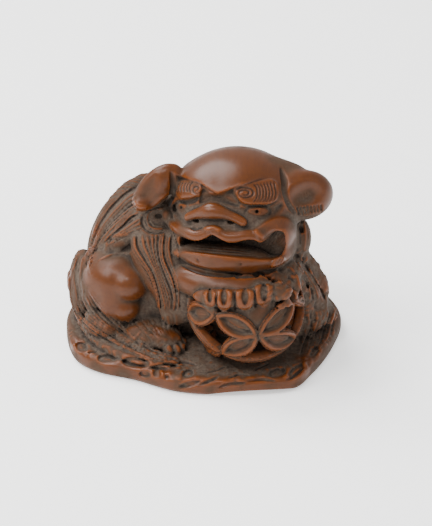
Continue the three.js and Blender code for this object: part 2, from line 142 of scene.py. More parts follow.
class Block:
    """Wood as distances in mm on a grid: below zero inside."""

    FAR = 3.0

    def __init__(self, low, high, step):
        self.low = np.array(low, float)
        self.step = step
        count = np.ceil((np.array(high) - self.low) / step).astype(int) + 1
        self.field = np.full(count, self.FAR, np.float32)

    def window(self, low, high):
        """The part of the grid between two corners: its slices and its X, Y and Z."""
        size = self.field.shape
        first = np.clip(np.floor((np.asarray(low) - self.low) / self.step).astype(int), 0, size)
        last = np.clip(np.ceil((np.asarray(high) - self.low) / self.step).astype(int) + 1, 0, size)
        axes = [self.low[k] + self.step * np.arange(first[k], last[k]) for k in range(3)]
        shapes = ((-1, 1, 1), (1, -1, 1), (1, 1, -1))
        grids = [axis.astype(np.float32).reshape(shape) for axis, shape in zip(axes, shapes)]
        return tuple(slice(a, b) for a, b in zip(first, last)), grids

    def everywhere(self):
        """X, Y and Z of the whole grid."""
        return self.window(self.low, self.low + self.step * np.array(self.field.shape))[1]

    def skin_within(self, low, high, reach):
        """The grid between two corners: its values, which are near the skin, and the X, Y and Z of those."""
        cells, grids = self.window(low, high)
        field = self.field[cells]
        near = np.abs(field) < reach
        return field, near, [np.broadcast_to(grid, field.shape)[near] for grid in grids]

    def work(self, form, blend, side):
        """Adds a form to the wood where the side is 1, and cuts it out where the side is -1."""
        low, high, distance = form
        cells, grids = self.window(low - blend - self.step, high + blend + self.step)
        if min(s.stop - s.start for s in cells) > 0:
            self.field[cells] = side * smooth_min(side * self.field[cells], distance(*grids), blend)

    def add(self, form, blend):
        self.work(form, blend, 1)

    def cut(self, form, blend):
        self.work(form, blend, -1)

    def trim(self, space, blend):
        """Takes away the wood wherever a distance given for the whole grid is below zero."""
        self.field = -smooth_min(-self.field, space, blend)

    def sample(self, points):
        """The distance at any points, between the grid's."""
        return sample_grid(self.field, (np.asarray(points) - self.low) / self.step)

    def slope(self, points):
        """The outward direction at any points."""
        steps = np.eye(3) * self.step
        g = np.stack([self.sample(points + s) - self.sample(points - s) for s in steps], -1)
        return g / np.maximum(np.linalg.norm(g, axis=-1, keepdims=True), 1e-6)

    def on_skin(self, points):
        """Points moved to the wood's skin."""
        points = np.array(points, float)
        for _ in range(4):
            far = np.clip(self.sample(points), -0.8, 0.8)
            points -= far[:, None] * self.slope(points)
        return points


def sample_grid(grid, at):
    """Values between the points of a grid."""
    top = np.array(grid.shape) - 1.001
    at = np.clip(at, 0, top)
    i = at.astype(int)
    f = at - i
    value = np.zeros(len(at))
    for dx in (0, 1):
        for dy in (0, 1):
            for dz in (0, 1):
                share = (
                    (f[:, 0] if dx else 1 - f[:, 0])
                    * (f[:, 1] if dy else 1 - f[:, 1])
                    * (f[:, 2] if dz else 1 - f[:, 2])
                )
                value += share * grid[i[:, 0] + dx, i[:, 1] + dy, i[:, 2] + dz]
    return value


def smooth_min(a, b, blend):
    """The smaller of two distances, rounded over where they meet."""
    if blend <= 0:
        return np.minimum(a, b)
    h = np.clip(0.5 + 0.5 * (b - a) / blend, 0, 1)
    return b + (a - b) * h - blend * h * (1 - h)


# Forms: each is a low corner, a high corner and a distance

def rounded(centre, radii, turn=(0, 0, 0), place=WORLD):
    """An ellipsoid with its half sizes, turned in degrees about X, Y and Z."""
    radii = np.array(radii, float)
    matrix = place.turn @ turned(*turn)
    middle = place.out(centre)
    reach = np.sqrt(((matrix * radii) ** 2).sum(1))

    def distance(x, y, z):
        p = [dot(x - middle[0], y - middle[1], z - middle[2], matrix[:, k]) for k in range(3)]
        near = np.sqrt(sum((p[k] / radii[k]) ** 2 for k in range(3)))
        rate = np.sqrt(sum((p[k] / radii[k] ** 2) ** 2 for k in range(3)))
        return near * (near - 1) / np.maximum(rate, 1e-6)

    return middle - reach, middle + reach, distance


def rod(a, b, radius_a, radius_b):
    """A straight round rod between two points, which may taper."""
    a, b = np.asarray(a, float), np.asarray(b, float)
    reach = max(radius_a, radius_b)
    along = b - a
    length = max(along @ along, 1e-9)

    def distance(x, y, z):
        px, py, pz = x - a[0], y - a[1], z - a[2]
        h = np.clip(dot(px, py, pz, along) / length, 0, 1)
        d = np.sqrt((px - along[0] * h) ** 2 + (py - along[1] * h) ** 2 + (pz - along[2] * h) ** 2)
        return d - (radius_a + (radius_b - radius_a) * h)

    return np.minimum(a, b) - reach, np.maximum(a, b) + reach, distance


def rods(path, width):
    """Rods from each point of a path to the next, with a half width at each point."""
    return [rod(*ends) for ends in zip(path, path[1:], width, width[1:])]


def part_way(points, run, at):
    """Places part of the way along a line of points, whose run is known at each point."""
    return np.stack([np.interp(at, run, points[:, k]) for k in range(points.shape[1])], -1)


def curve_through(points, spacing):
    """Points evenly along a smooth curve through the given ones, on the flat or in space."""
    p = np.asarray(points, float)
    ends = np.vstack([2 * p[0] - p[1], p, 2 * p[-1] - p[-2]])
    fine = []
    for i in range(len(p) - 1):
        a, b, c, d = ends[i:i + 4]
        t = np.linspace(0, 1, 12, endpoint=False)[:, None]
        fine.append(0.5 * (2 * b + (c - a) * t
                           + (2 * a - 5 * b + 4 * c - d) * t**2 + (3 * b - a - 3 * c + d) * t**3))
    fine = np.vstack(fine + [p[-1:]])
    run = np.concatenate([[0], np.cumsum(np.linalg.norm(np.diff(fine, axis=0), axis=1))])
    count = max(2, int(round(run[-1] / spacing)) + 1)
    return part_way(fine, run, np.linspace(0, run[-1], count))


def closed_curve(points, spacing):
    """Points evenly round a smooth closed curve through the given ones."""
    p = np.asarray(points, float)
    looped = curve_through(np.vstack([p[-3:], p, p[:3]]), spacing)
    half = len(looped) // 2
    start = np.argmin(np.linalg.norm(looped[:half] - p[0], axis=1))
    stop = half + np.argmin(np.linalg.norm(looped[half:] - p[0], axis=1))
    return looped[start:stop]


def outline_distance(x, y, edge):
    """The distance from places on the flat to a closed outline, below zero inside."""
    shape = np.broadcast_shapes(x.shape, y.shape)
    best = np.full(shape, 1e9, np.float32)
    inside = np.zeros(shape, bool)
    for a, b in zip(edge, np.roll(edge, -1, axis=0)):
        ax, ay, bx, by = a[0], a[1], b[0] - a[0], b[1] - a[1]
        px, py = x - ax, y - ay
        h = np.clip((px * bx + py * by) / (bx * bx + by * by + 1e-12), 0, 1)
        best = np.minimum(best, (px - bx * h) ** 2 + (py - by * h) ** 2)
        crosses = ((ay > y) != (ay + by > y)) & (x < ax + bx * (y - ay) / (by if by else 1e-9))
        inside ^= crosses
    return np.where(inside, -1, 1) * np.sqrt(best)


# What the photograph shows, laid on the wood

def sight(pixels):
    """The directions from the eye to pixels of the photograph, one long towards the wood."""
    pixels = np.asarray(pixels, float)
    across = (pixels[:, :1] - PICTURE_WIDTH / 2) * MM_PER_PIXEL / CAMERA_DISTANCE
    upward = (PICTURE_HEIGHT / 2 - pixels[:, 1:]) * MM_PER_PIXEL / CAMERA_DISTANCE
    return LOOKING + ACROSS * across + UPWARD * upward


def seen(block, pixels):
    """The places on the wood that show at pixels of the photograph, or pass nearest to it."""
    ways = sight(pixels)
    far = np.full(len(pixels), CAMERA_DISTANCE - WOOD_REACH)
    best, least = far.copy(), np.full(len(pixels), np.inf)
    while True:
        value = block.sample(EYE + ways * far[:, None])
        closer = value < least
        best[closer], least[closer] = far[closer], value[closer]
        moving = (value > 0) & (far < CAMERA_DISTANCE + WOOD_REACH)
        if not moving.any():
            return EYE + ways * best[:, None]
        far += np.where(moving, np.clip(0.7 * value, 0.03, 0.45), 0)


def how_far(places):
    """How far off places are along the view, in mm."""
    return (places - EYE) @ LOOKING


def picture(x, y, z):
    """Where places show in the photograph, in pixels, and how far off they are."""
    dx, dy, dz = x - EYE[0], y - EYE[1], z - EYE[2]
    far = dot(dx, dy, dz, LOOKING)
    scale = CAMERA_DISTANCE / MM_PER_PIXEL / far
    px = PICTURE_WIDTH / 2 + dot(dx, dy, dz, ACROSS) * scale
    py = PICTURE_HEIGHT / 2 - dot(dx, dy, dz, UPWARD) * scale
    return px, py, far


def laid(block, lines):
    """Lines drawn on the photograph, laid on the wood."""
    drawn = [curve_through(line, LINE_STEP) for line in lines]
    places = seen(block, np.vstack(drawn))
    stops = np.cumsum([len(line) for line in drawn])[:-1]
    return [calm(path) for path in np.split(places, stops)]


def calm(path):
    """A path freed of jumps: each point takes the middle one of its neighbours' depths."""
    if len(path) < 5:
        return path
    depth = how_far(path)
    padded = np.pad(depth, 2, "edge")
    middle = np.median([padded[i:i + len(depth)] for i in range(5)], axis=0)
    return EYE + (path - EYE) * (middle / depth)[:, None]


def hair(line, along, height, waves):
    """How far combed hair stands out: ridges with narrow furrows between them, in locks of three.
    A strand's number is the whole part of its line."""
    line = line + 0.35 * np.sin(2 * math.pi * waves * along + 0.6 * line)
    uneven = np.sin(np.floor(line) * 12.9) * 43.7
    uneven -= np.floor(uneven)
    ridge = np.sqrt(np.abs(np.sin(math.pi * line))) * (0.7 + 0.3 * uneven)
    gathered = np.sqrt(np.abs(np.sin(math.pi * (line / 3 + 0.3 * np.sin(0.7 * line)))))
    return height * (ridge - 0.55 + 0.8 * (gathered - 0.7))


def between(first, last, share):
    """A line part of the way between two guide lines."""
    return np.asarray(first, float) * (1 - share) + np.asarray(last, float) * share


def comb(block, first, last, count, height, waves, fade=1.0):
    """Combs the wood between two guide lines drawn on the photograph into so many strands."""
    along = np.linspace(0, 1, 300)
    guides = [curve_through(guide, OUTLINE_STEP) for guide in (first, last)]
    first, last = (part_way(guide, np.linspace(0, 1, len(guide)), along) for guide in guides)
    # a chart of half pixels tells how far across and along the band each one lies
    low = np.floor(np.minimum(first.min(0), last.min(0))) - 1
    size = ((np.maximum(first.max(0), last.max(0)) - low) * 2).astype(int) + 4
    chart = np.full((size[0], size[1], 2), -1.0, np.float32)
    for share in np.linspace(0, 1, 260):
        spots = ((between(first, last, share) - low) * 2).astype(int)
        chart[spots[:, 0], spots[:, 1]] = np.stack([np.full(len(along), share), along], -1)
    spread_out = [between(first[::15], last[::15], share) for share in (0, 0.33, 0.67, 1)]
    places = seen(block, np.vstack(spread_out))
    field, near, (x, y, z) = block.skin_within(places.min(0) - 1, places.max(0) + 1, 0.8)
    px, py, far = picture(x, y, z)
    spots = ((np.stack([px, py], -1) - low) * 2).astype(int)
    known = ((spots >= 0) & (spots < size)).all(-1) & (far < how_far(places).max() + BAND_DEPTH)
    spots[~known] = 0
    u, v = chart[spots[:, 0], spots[:, 1]].T
    sides = np.clip(np.minimum(u, 1 - u) * count / fade, 0, 1)
    ends = np.clip(np.minimum(v, 1 - v) / 0.08, 0, 1)
    edge = np.where(known & (u >= 0), sides * ends, 0)
    field[near] -= (hair(u * count, v, height, waves) * edge).astype(np.float32)


def swirl(centre, radii, turns, start, inner):
    """A spiral drawn on the photograph, from its rim to its middle: radii in pixels, angles in degrees."""
    share = np.linspace(0, 1, max(8, int(abs(turns) * 16)))
    angle = math.radians(start) + share * turns * 2 * math.pi
    reach = 1 - (1 - inner) * share
    return np.stack([centre[0] + radii[0] * reach * np.cos(angle),
                     centre[1] + radii[1] * reach * np.sin(angle)], -1)


def oval(centre, radii, lean=0):
    """A closed oval drawn on the photograph: radii in pixels, its lean in degrees."""
    angle = np.linspace(0, 2 * math.pi, 14, endpoint=False)
    x, y = radii[0] * np.cos(angle), radii[1] * np.sin(angle)
    c, s = math.cos(math.radians(lean)), math.sin(math.radians(lean))
    return np.stack([centre[0] + x * c - y * s, centre[1] + x * s + y * c], -1)


def relief(block, outline, height, soft, depth=3.0):
    """Raises the skin inside an outline drawn on the photograph, or sinks it by a height below zero."""
    edge = closed_curve(outline, OUTLINE_STEP)
    places = seen(block, edge)
    low, high = places.min(0) - depth, places.max(0) + depth
    field, near, (x, y, z) = block.skin_within(low, high, abs(height) + 0.5)
    px, py, far = picture(x, y, z)
    within = -outline_distance(px, py, edge) * MM_PER_PIXEL
    share = np.clip(0.5 + within / soft, 0, 1)
    share = share * share * (3 - 2 * share)
    share *= far < how_far(places).max() + depth
    field[near] -= (height * share).astype(np.float32)


def lock(block, points, radius, taper, blend):
    """A lock of hair, a lip or a limb: a round form along a curve, closed at its ends."""
    path = curve_through(points, LOCK_STEP)
    share = np.linspace(0, 1, len(path))
    width = radius * (1 - taper * share) * np.power(np.clip(4 * share * (1 - share), 0.02, 1), 0.3)
    for form in rods(path, width):
        block.add(form, blend)


def ends_of(path, fade):
    """From 0 at both ends of a path to 1 past a share of its length."""
    share = np.linspace(0, 1, len(path))
    return np.sqrt(np.clip(np.minimum(share, 1 - share) / fade, 0, 1))


def strands(block, lines, radius, lift, blend=0.06, fade=0.2):
    """Raised hairs or rims drawn on the photograph: round, and above the skin by a lift in mm."""
    for path in laid(block, lines):
        path = block.on_skin(path)
        ends = ends_of(path, fade)
        width = radius * rng.uniform(0.88, 1.12) * (0.35 + 0.65 * ends)
        path = path + block.slope(path) * (lift * ends - width)[:, None]
        for form in rods(path, width):
            block.add(form, blend)


def grooves(block, lines, radius, depth, fade=0.25):
    """Cut lines drawn on the photograph: as deep as given in mm, with round bottoms."""
    for path in laid(block, lines):
        path = block.on_skin(path)
        ends = ends_of(path, fade)
        width = radius * (0.4 + 0.6 * ends)
        path = path + block.slope(path) * (width - depth * (0.2 + 0.8 * ends))[:, None]
        for form in rods(path, width):
            block.cut(form, 0.05)


# The body

TRUNK_CENTRE = np.array([-2.4, 5, 10.35])
TRUNK_RADII = np.array([14.9, 12, 13.9])
RIGHT_HAUNCH = ((10.9, 1, 6), (7.2, 8, 7.6))
TAIL = ((-17.7, 1.6, 7.6), (2.1, 3.6, 6))


def on_trunk(azimuth, elevation, lift):
    """A point on the trunk, or a lift above it: azimuth 0 is the front and 90 the right, in degrees."""
    a, e = math.radians(azimuth), math.radians(elevation)
    way = np.array([math.sin(a) * math.cos(e), -math.cos(a) * math.cos(e), math.sin(e)])
    return TRUNK_CENTRE + (TRUNK_RADII + lift) * way


# Rounded forms in the order in which they are added: centre, half sizes, turn if any, and blend
HIND_FORMS = [
    ((15.2, -2.6, 6.2), (3.2, 3.4, 3.2), 0.8),
    ((1.6, 2.8, 20.2), (8.8, 6.8, 6.4), 1.5),
    # haunch and knee
    ((-14.6, -2.2, 11), (3.1, 3.8, 4.8), (0, 15, 0), 0.8),
    ((-12.2, -3.4, 11.6), (4.4, 4, 3.9), 0.5),
    ((-13.9, -3.8, 4.8), (3.6, 4, 2.4), 0.5),
    ((-12.6, -4.9, 8.9), (2.9, 2.6, 3), 0.8),
    ((-11.4, -5.5, 8.2), (2.3, 2.4, 2.2), 0.3),
    ((-10.8, -5.1, 11.9), (2.9, 3, 2.7), 0.35),
]
TAIL_TIP = ((-19.2, 1.6, 8.8), (1.0, 1.8, 1.6))
MANE_FORMS = [
    # mane in front
    ((-5.8, -4.6, 13.2), (3.0, 2.8, 5.8), (10, 18, 0), 0.8),
    ((-7, -1.4, 20.4), (2.8, 1.6, 2.8), 2.0),
    # mane behind the jaw and over the shoulder
    ((10.6, 0.4, 16.8), (4.2, 5, 4.6), 1.5),
    ((13.4, -2.6, 17.8), (2.1, 2.8, 3.2), 1.4),
    ((11, -8.6, 14.8), (3, 2.8, 2.8), 0.5),
    ((11.2, -9.9, 14.3), (2.7, 2.4, 2.2), 0.8),
    ((8.2, -9.4, 16.2), (3.4, 2.6, 1.9), 0.8),
    ((-9.2, -4.2, 7), (2.6, 2.2, 2.8), 0.4),
]


def add_forms(block, forms):
    for *form, blend in forms:
        block.add(rounded(*form), blend)


def carve_body(block):
    block.add(rounded(TRUNK_CENTRE, TRUNK_RADII), 0)
    block.add(rounded(*RIGHT_HAUNCH), 1.0)
    add_forms(block, HIND_FORMS)
    block.add(rounded(*TAIL), 0.4)
    block.add(rounded(*TAIL_TIP), 0.15)
    lock(block, HAM_EDGE, 0.8, 0, 0.5)
    add_forms(block, MANE_FORMS)


FLANK_OUTER = [(-7.9, 5.9, 23.5), (-10.7, 4.6, 22.1), (-13, 3.3, 20), (-14.9, 2.2, 17),
               (-16.4, 1.2, 13.2)]
FLANK_INNER = [(-8.3, -2.2, 20.2), (-10, -2.6, 18.9), (-11.4, -2.6, 17.6), (-12.9, -2.2, 16.2),
               (-14.1, -2, 14.8)]
HAM_EDGE = [(-15.8, 0.5, 15), (-17, -0.8, 12.6), (-17.3, -1.8, 10.2), (-16.6, -3, 7.8), (-15.2, -4.4, 6)]
CHEST_OUTER = [(-9.2, -3, 19.2), (-8.8, -4.6, 16.7), (-7, -6.2, 13.9), (-5.3, -7.4, 11.1),
               (-4.7, -8, 7.2)]
CHEST_INNER = [(-4.9, -5, 19), (-4.7, -6.4, 16.6), (-4, -7.4, 14.4), (-2.6, -8.2, 11.8),
               (-2.4, -8.6, 8.4)]
SHOULDER_OUTER = [(13.4, -3.6, 16.2), (14.8, -2.4, 13.4), (16.4, -2, 10.8), (17.5, -2, 8.6)]
SHOULDER_INNER = [(11.8, -6.6, 14.8), (12.8, -6.2, 12.4), (14, -6, 9.8), (15, -5.8, 7.4)]
RUG_HAIR_INNER = [(-17.6, 1.8, 6.4), (-14.9, -2.7, 4.6), (-12, -7.6, 3.9), (-8.5, -10.8, 3.4),
                  (-3.6, -12.6, 3)]
RUG_HAIR_OUTER = [(-18.8, 0.4, 4.6), (-17, -4, 3.4), (-13.8, -8.8, 2.9), (-9.2, -12.4, 2.7),
                  (-3, -14.4, 2.5)]


def carve_locks(block):
    lock(block, between(FLANK_OUTER, FLANK_INNER, 0.15) + np.array([1.5, 0.8, -1.2]), 2.2, 0, 1.0)
    for i in range(4):
        lock(block, between(FLANK_OUTER, FLANK_INNER, i / 3), 1.15, 0.2, 0.6)
        lock(block, between(CHEST_OUTER, CHEST_INNER, i / 3) + np.array([0, 0.25, 0]), 1.05, 0.2, 1.6)
    for i in range(3):
        lock(block, between(SHOULDER_OUTER, SHOULDER_INNER, i / 2), 1.0, 0, 1.0)
        lock(block, between(RUG_HAIR_INNER, RUG_HAIR_OUTER, i / 2), 0.75, 0, 0.3)
    count = 7
    for i in range(count):
        azimuth = 108 + i * 150 / (count - 1)
        sway = 6 if i % 2 else -4
        rise = 4 if i % 2 else 0
        points = [on_trunk(azimuth + sway * math.sin(k * 1.5), e + rise, -1.45)
                  for k, e in enumerate((60, 46, 28, 8, -14))]
        lock(block, points, 1.7, 0.3, 0.5)


# The rug

RUG_OUTLINE = [
    (-1, -0.03), (-0.93, -0.42), (-0.76, -0.63), (-0.5, -0.76), (-0.2, -0.95), (0.12, -1),
    (0.6, -0.93), (0.78, -0.66), (0.93, -0.24), (1, 0.2), (0.86, 0.62), (0.52, 0.92), (0.05, 1),
    (-0.45, 0.93), (-0.83, 0.66), (-0.98, 0.32),
]


def rug_edge(inset=0.0):
    """Points round the rug, a step in from its edge."""
    size = (RUG_LENGTH / 2 - inset, RUG_DEPTH / 2 - inset)
    return closed_curve(np.array(RUG_OUTLINE) * size, RUG_STEP)


def carve_rug(block):
    half = np.array([RUG_LENGTH, RUG_DEPTH, 0]) / 2 + 1
    cells, (x, y, z) = block.window(-half, half + (0, 0, RUG_THICKNESS + 4))
    across = outline_distance(x, y, rug_edge()) + RUG_EDGE_ROUND
    high = np.abs(z - RUG_THICKNESS / 2) - RUG_THICKNESS / 2 + RUG_EDGE_ROUND
    out = np.sqrt(np.maximum(across, 0) ** 2 + np.maximum(high, 0) ** 2) - RUG_EDGE_ROUND
    plate = out + np.minimum(np.maximum(across, high), 0)
    block.field[cells] = smooth_min(block.field[cells], plate.astype(np.float32), 0.1)
    # the edge is a little off the table at the right of the front
    block.cut(rounded((8, -17.9, -0.5), (8, 3.4, 1.3)), 0.4)


def carve_cord_holes(block):
    side, high = CORD_HOLE_SPACING / 2, CORD_HOLE_DEPTH
    tunnel = [(-1, -1), (-0.85, high * 0.6), (0, high), (0.85, high * 0.6), (1, -1)]
    path = curve_through([(share * side, 2, z) for share, z in tunnel], 0.8)
    for form in rods(path, np.full(len(path), CORD_HOLE_DIAMETER / 2)):
        block.cut(form, 0.1)
    radius = KNOT_HOLE_DIAMETER / 2
    block.cut(rod((-side, 2, -4), (-side, 2, high - radius), radius, radius), 0.3)


# The feet

def carve_foot(block, centre, heading, size, toes):
    place = Place(centre, turned(0, 0, heading))
    block.add(rounded((0, 0.3, 0.1), (2.4 * size, 2.6 * size, 1.6 * size), place=place), 0.5)
    for i in range(toes):
        side = i - (toes - 1) / 2
        at = (side * 1.0 * size, (-2.3 + 0.3 * side * side) * size, -0.5 * size)
        block.add(rounded(at, (0.6 * size, 0.9 * size, 0.9 * size), place=place), 0.2)


def carve_feet(block):
    carve_foot(block, (-5.4, -8.6, 4.3), 48, 1.0, 4)
    block.add(rounded((-7.6, -7, 4.5), (4, 3.3, 2.3)), 0.8)
    carve_foot(block, (17, -2.2, 5.6), 78, 0.95, 3)
    carve_foot(block, (11.4, 11.8, 3.6), 140, 1.0, 3)


# The ball: petals along the edges of a cuboctahedron, openings in its square and three-sided faces

BALL_RADIUS = BALL_DIAMETER / 2
BALL_CENTRE = np.array([6, -9.2, RUG_THICKNESS + BALL_RADIUS - BALL_SEAT])
BALL_TURN = turned(0, 0, 56)
BALL_JOINTS = [(258, 336), (215, 315), (295, 301), (221, 354), (296, 338)]  # where petals meet, in pixels
WALL_UNDER_PAW = (250, 300)  # the middle of the plain wall, in pixels
VEIN_SPACING = 0.62


def on_ball(pixel):
    """The direction from the ball's middle to the place on it that a pixel of the photograph shows."""
    way = sight([pixel])[0]
    middle = EYE - BALL_CENTRE
    a, b, c = way @ way, middle @ way, middle @ middle - BALL_RADIUS**2
    far = (-b - math.sqrt(max(b * b - a * c, 0))) / a
    place = middle + way * far
    return place / np.linalg.norm(place)


def petal_edges():
    """The pairs of neighbouring corners between which the petals lie. Corners that show stand where
    the photograph has them."""
    signs = (-1, 1)
    corners = []
    for a, b in ((0, 1), (0, 2), (1, 2)):
        for p in signs:
            for q in signs:
                way = np.zeros(3)
                way[a], way[b] = p, q
                corners.append(way / math.sqrt(2))
    corners = np.array(corners) @ BALL_TURN.T
    joined = [(i, j) for i in range(12) for j in range(i + 1, 12)]
    pairs = [(i, j) for i, j in joined if abs(corners[i] @ corners[j] - 0.5) < 0.01]
    moved = corners.copy()
    for joint in map(on_ball, BALL_JOINTS):
        moved[np.argmax(corners @ joint)] = joint
    return [(moved[i], moved[j]) for i, j in pairs]


def carve_ball(block):
    block.cut(rounded(BALL_CENTRE, (BALL_RADIUS - BALL_WALL,) * 3), 0)
    cells, (x, y, z) = block.window(BALL_CENTRE - BALL_RADIUS - 0.5, BALL_CENTRE + BALL_RADIUS + 0.5)
    px, py, pz = x - BALL_CENTRE[0], y - BALL_CENTRE[1], z - BALL_CENTRE[2]
    reach = np.sqrt(px**2 + py**2 + pz**2)
    way = [p / np.maximum(reach, 0.1) for p in (px, py, pz)]
    shell = np.maximum(reach - BALL_RADIUS, BALL_RADIUS - BALL_WALL - reach)
    # how far a place on the ball is inside the nearest petal's outline, in mm
    under_paw = on_ball(WALL_UNDER_PAW)
    inside = np.full(reach.shape, -9.0, np.float32)
    veins = np.zeros(reach.shape, np.float32)
    for a, b in petal_edges():
        middle = (a + b) / np.linalg.norm(a + b)
        if (middle @ under_paw) > 0.9:
            continue
        half_length = BALL_RADIUS * math.acos(a @ b) / 2
        half_width = PETAL_WIDTH / 2 * (EDGE_PETAL if abs(middle @ LOOKING) < 0.5 else 1)
        arc = (half_length**2 + half_width**2) / (2 * half_width)
        along = (b - a) / np.linalg.norm(b - a)
        front = dot(*way, middle)
        u = BALL_RADIUS * np.arctan2(dot(*way, along), front)
        v = BALL_RADIUS * np.arcsin(np.clip(dot(*way, np.cross(middle, along)), -1, 1))
        petal = np.where(front > 0.6, arc - np.sqrt(u**2 + (np.abs(v) + arc - half_width) ** 2), -9)
        veins = np.where(petal > inside, 0.05 * np.sin(v * 2 * math.pi / VEIN_SPACING), veins)
        inside = np.maximum(inside, petal)
    opened = -(inside + PETAL_RIM * 0.35)
    dished = PETAL_RECESS * np.clip((inside - PETAL_RIM) / 0.35, 0, 1)
    hollow = np.minimum(inside - PETAL_RIM * 0.9, reach - BALL_RADIUS + dished + veins)
    carved = np.maximum(np.maximum(shell, opened), hollow)
    # a fine line runs between the rims of neighbouring petals
    carved = np.maximum(carved, np.minimum(0.09 - np.abs(inside), reach - BALL_RADIUS + 0.25))
    # under the paw the wall is whole, and lies lower than the petals
    aside = 0.86 - dot(*way, under_paw)
    wall = np.maximum(reach - BALL_RADIUS + PETAL_RECESS * 0.7, BALL_RADIUS - BALL_WALL - reach)
    carved = np.minimum(carved, np.maximum(BALL_RADIUS * aside, wall))
    block.field[cells] = smooth_min(block.field[cells], carved.astype(np.float32), 0.08)


# The paw on the ball: under the forearm four toes side by side, each a lobe with a hollow for its claw

FOREARM = [(-4.8, -6.6, 14.3), (-1.2, -10, 14.6), (3, -12.2, 14.5), (7.4, -13.2, 14.3),
           (9.6, -12.6, 14.6)]
TOES = [((210, 300), 5.5, 8), ((224, 301), 7.4, 10), ((245, 301), 8.2, 10), ((264, 296), 8, 11)]
TOE_GAPS = [[(216.5, 291), (216, 299), (217, 308)], [(234.8, 291), (234.8, 300), (234.8, 311)],
            [(254.5, 289), (255, 298), (256, 308)]]
ROUGH_LOCK = (278, 291)


def carve_paw(block):
    lock(block, FOREARM, 2.1, 0, 0.5)
    row = [BALL_CENTRE + (BALL_RADIUS + 0.1) * on_ball((x, y - 3)) for (x, y), _, _ in TOES]
    lock(block, [2 * row[0] - row[1], *row, 1.5 * row[-1] - 0.5 * row[-2]], 1.15, 0, 0.3)
    # rough hair of the chest over the ball
    block.add(rounded(BALL_CENTRE + BALL_RADIUS * on_ball(ROUGH_LOCK), (1.9, 1.6, 1.3)), 0.5)
    roughen(block, (10.2, -16, 13), (15, -6, 17), 0.22, 0.6)


def carve_toes(block):
    for (x, y), wide, high in TOES:
        side = [(-1, -1), (-1, 0), (-0.75, 0.7), (0, 1), (0.75, 0.7), (1, 0), (1, -1)]
        relief(block, [(x + u * wide, y + v * high) for u, v in side], 0.42, 0.4, depth=1.5)
        relief(block, oval((x, y - 4), (wide * 0.42, high * 0.8)), -0.45, 0.4, depth=1.5)
    grooves(block, TOE_GAPS, 0.2, 0.35)


# The head, in a frame of its own: turned to the left, tipped back and leaning a little

HEAD = Place((4.7, -2, 23.5), turned(0, 0, -20) @ turned(-12, 0, 0) @ turned(0, -8, 0))
SKULL_RADII = np.array([9.4, 8.5, 7.8])
MUZZLE_CENTRE = np.array([0, -2.2, -3.6])
MUZZLE_RADII = np.array([9, 7.4, 5.6])

CROWN_EDGE = [(168, 172), (176, 175), (181, 177), (190, 180), (197, 182), (204, 185.5), (208, 188.5),
              (213, 191.5), (217, 194), (222, 192.5), (229, 190), (236, 187), (243, 185), (254, 181),
              (266, 177), (280, 172)]
MOUTH_OUTLINE = [(180, 237), (189, 240), (198, 241), (206, 238), (212, 235), (218, 238), (226, 242),
                 (234, 243), (244, 240.5), (253, 240), (261, 243), (266, 238), (271, 233.5), (277, 231),
                 (283, 233), (285, 242), (283, 251), (277, 258), (262, 259.5), (240, 257.5), (215, 255),
                 (198, 253), (186, 251), (180, 246)]
UPPER_LIP = [(165, 211), (170, 221), (177, 228.5), (186, 232.5), (195, 236), (203, 235), (209, 231.5),
             (213, 230.5), (218, 233), (226, 237), (235, 237.5), (244, 236), (252, 236), (258, 238.5),
             (263, 240)]
CORNER_LIP = [(254, 231), (261, 225), (270, 219.5), (281, 217), (290, 219), (296, 227), (298, 239),
              (295, 251), (289, 260), (280, 266), (271, 267), (275, 258), (281, 250), (283, 241),
              (280, 233), (273, 231), (266, 236), (262, 239)]
LOWER_LIP = [(181, 251), (200, 252.5), (220, 255), (240, 257), (258, 258.5), (269, 259), (278, 256),
             (285, 259), (279, 266), (264, 270), (250, 272), (232, 272), (214, 270.5), (199, 267),
             (188, 262), (182, 257)]
NOSE = [(190, 217.5), (196, 214.5), (204, 212.5), (213, 210.5), (222, 212.5), (231, 216), (238, 219.5),
        (243, 223)]
LEFT_BROW = [(176, 194), (177, 187), (180, 181), (188, 180), (196, 182), (201, 185), (201, 190),
             (197, 195), (190, 199), (181, 199)]
RIGHT_BROW = [(233, 192), (235, 188), (241, 186), (251, 183), (262, 180.5), (272, 179), (278, 184),
              (279, 193), (276, 200), (268, 203.5), (256, 204.5), (246, 203.5), (238, 199)]
CROWN_LEFT, CROWN_RIGHT = 172, 268
FACE_SUNK = [(176, 202), (204, 196), (222, 197), (240, 206), (268, 206), (282, 204), (276, 214),
             (262, 221), (250, 229), (238, 230), (222, 227), (212, 225), (200, 228), (188, 226),
             (177, 217)]
BETWEEN_BROWS = [(203, 189), (212, 195), (222, 195), (233, 190), (240, 206), (226, 204), (212, 201),
                 (200, 203)]
UNDER_BROWS = [[(237, 202), (246, 206), (258, 207), (270, 205.5), (278, 201)],
               [(176, 201), (184, 202.5), (193, 201.5), (200, 197)]]
LIP_PEAK = [(203, 228), (209, 226), (216, 226), (222, 229), (218, 232), (213, 229), (208, 231)]
NOSTRILS = [(196.5, 220.5), (231, 222)]
EYES = [((258, 211.5), (11, 5), (257, 211.5)), ((181, 207), (5.5, 4), (181, 207.5))]
RIGHT_CURL = ((245, 193), (10.5, 6.4))
LEFT_CURL = ((196, 189.5), (5, 5))
RIGHT_BOW = [(253, 183.5), (256.5, 187), (257.6, 193), (256.2, 199), (253, 202.5)]
RIGHT_BOW_STEPS = [(3.5, -0.5), (3.1, 0), (3.1, 0), (3.1, 0), (3.1, 0)]
LEFT_BOW = [(193, 181.5), (190, 184.5), (189, 188.5), (190, 192.5)]
TONGUE_LINE = [(192, 245.5), (215, 247.5), (238, 249.5), (256, 253)]
TONGUE_STEPS = [(0, 2.6), (0, 2.6), (0, 2.6), (0, 1.3)]
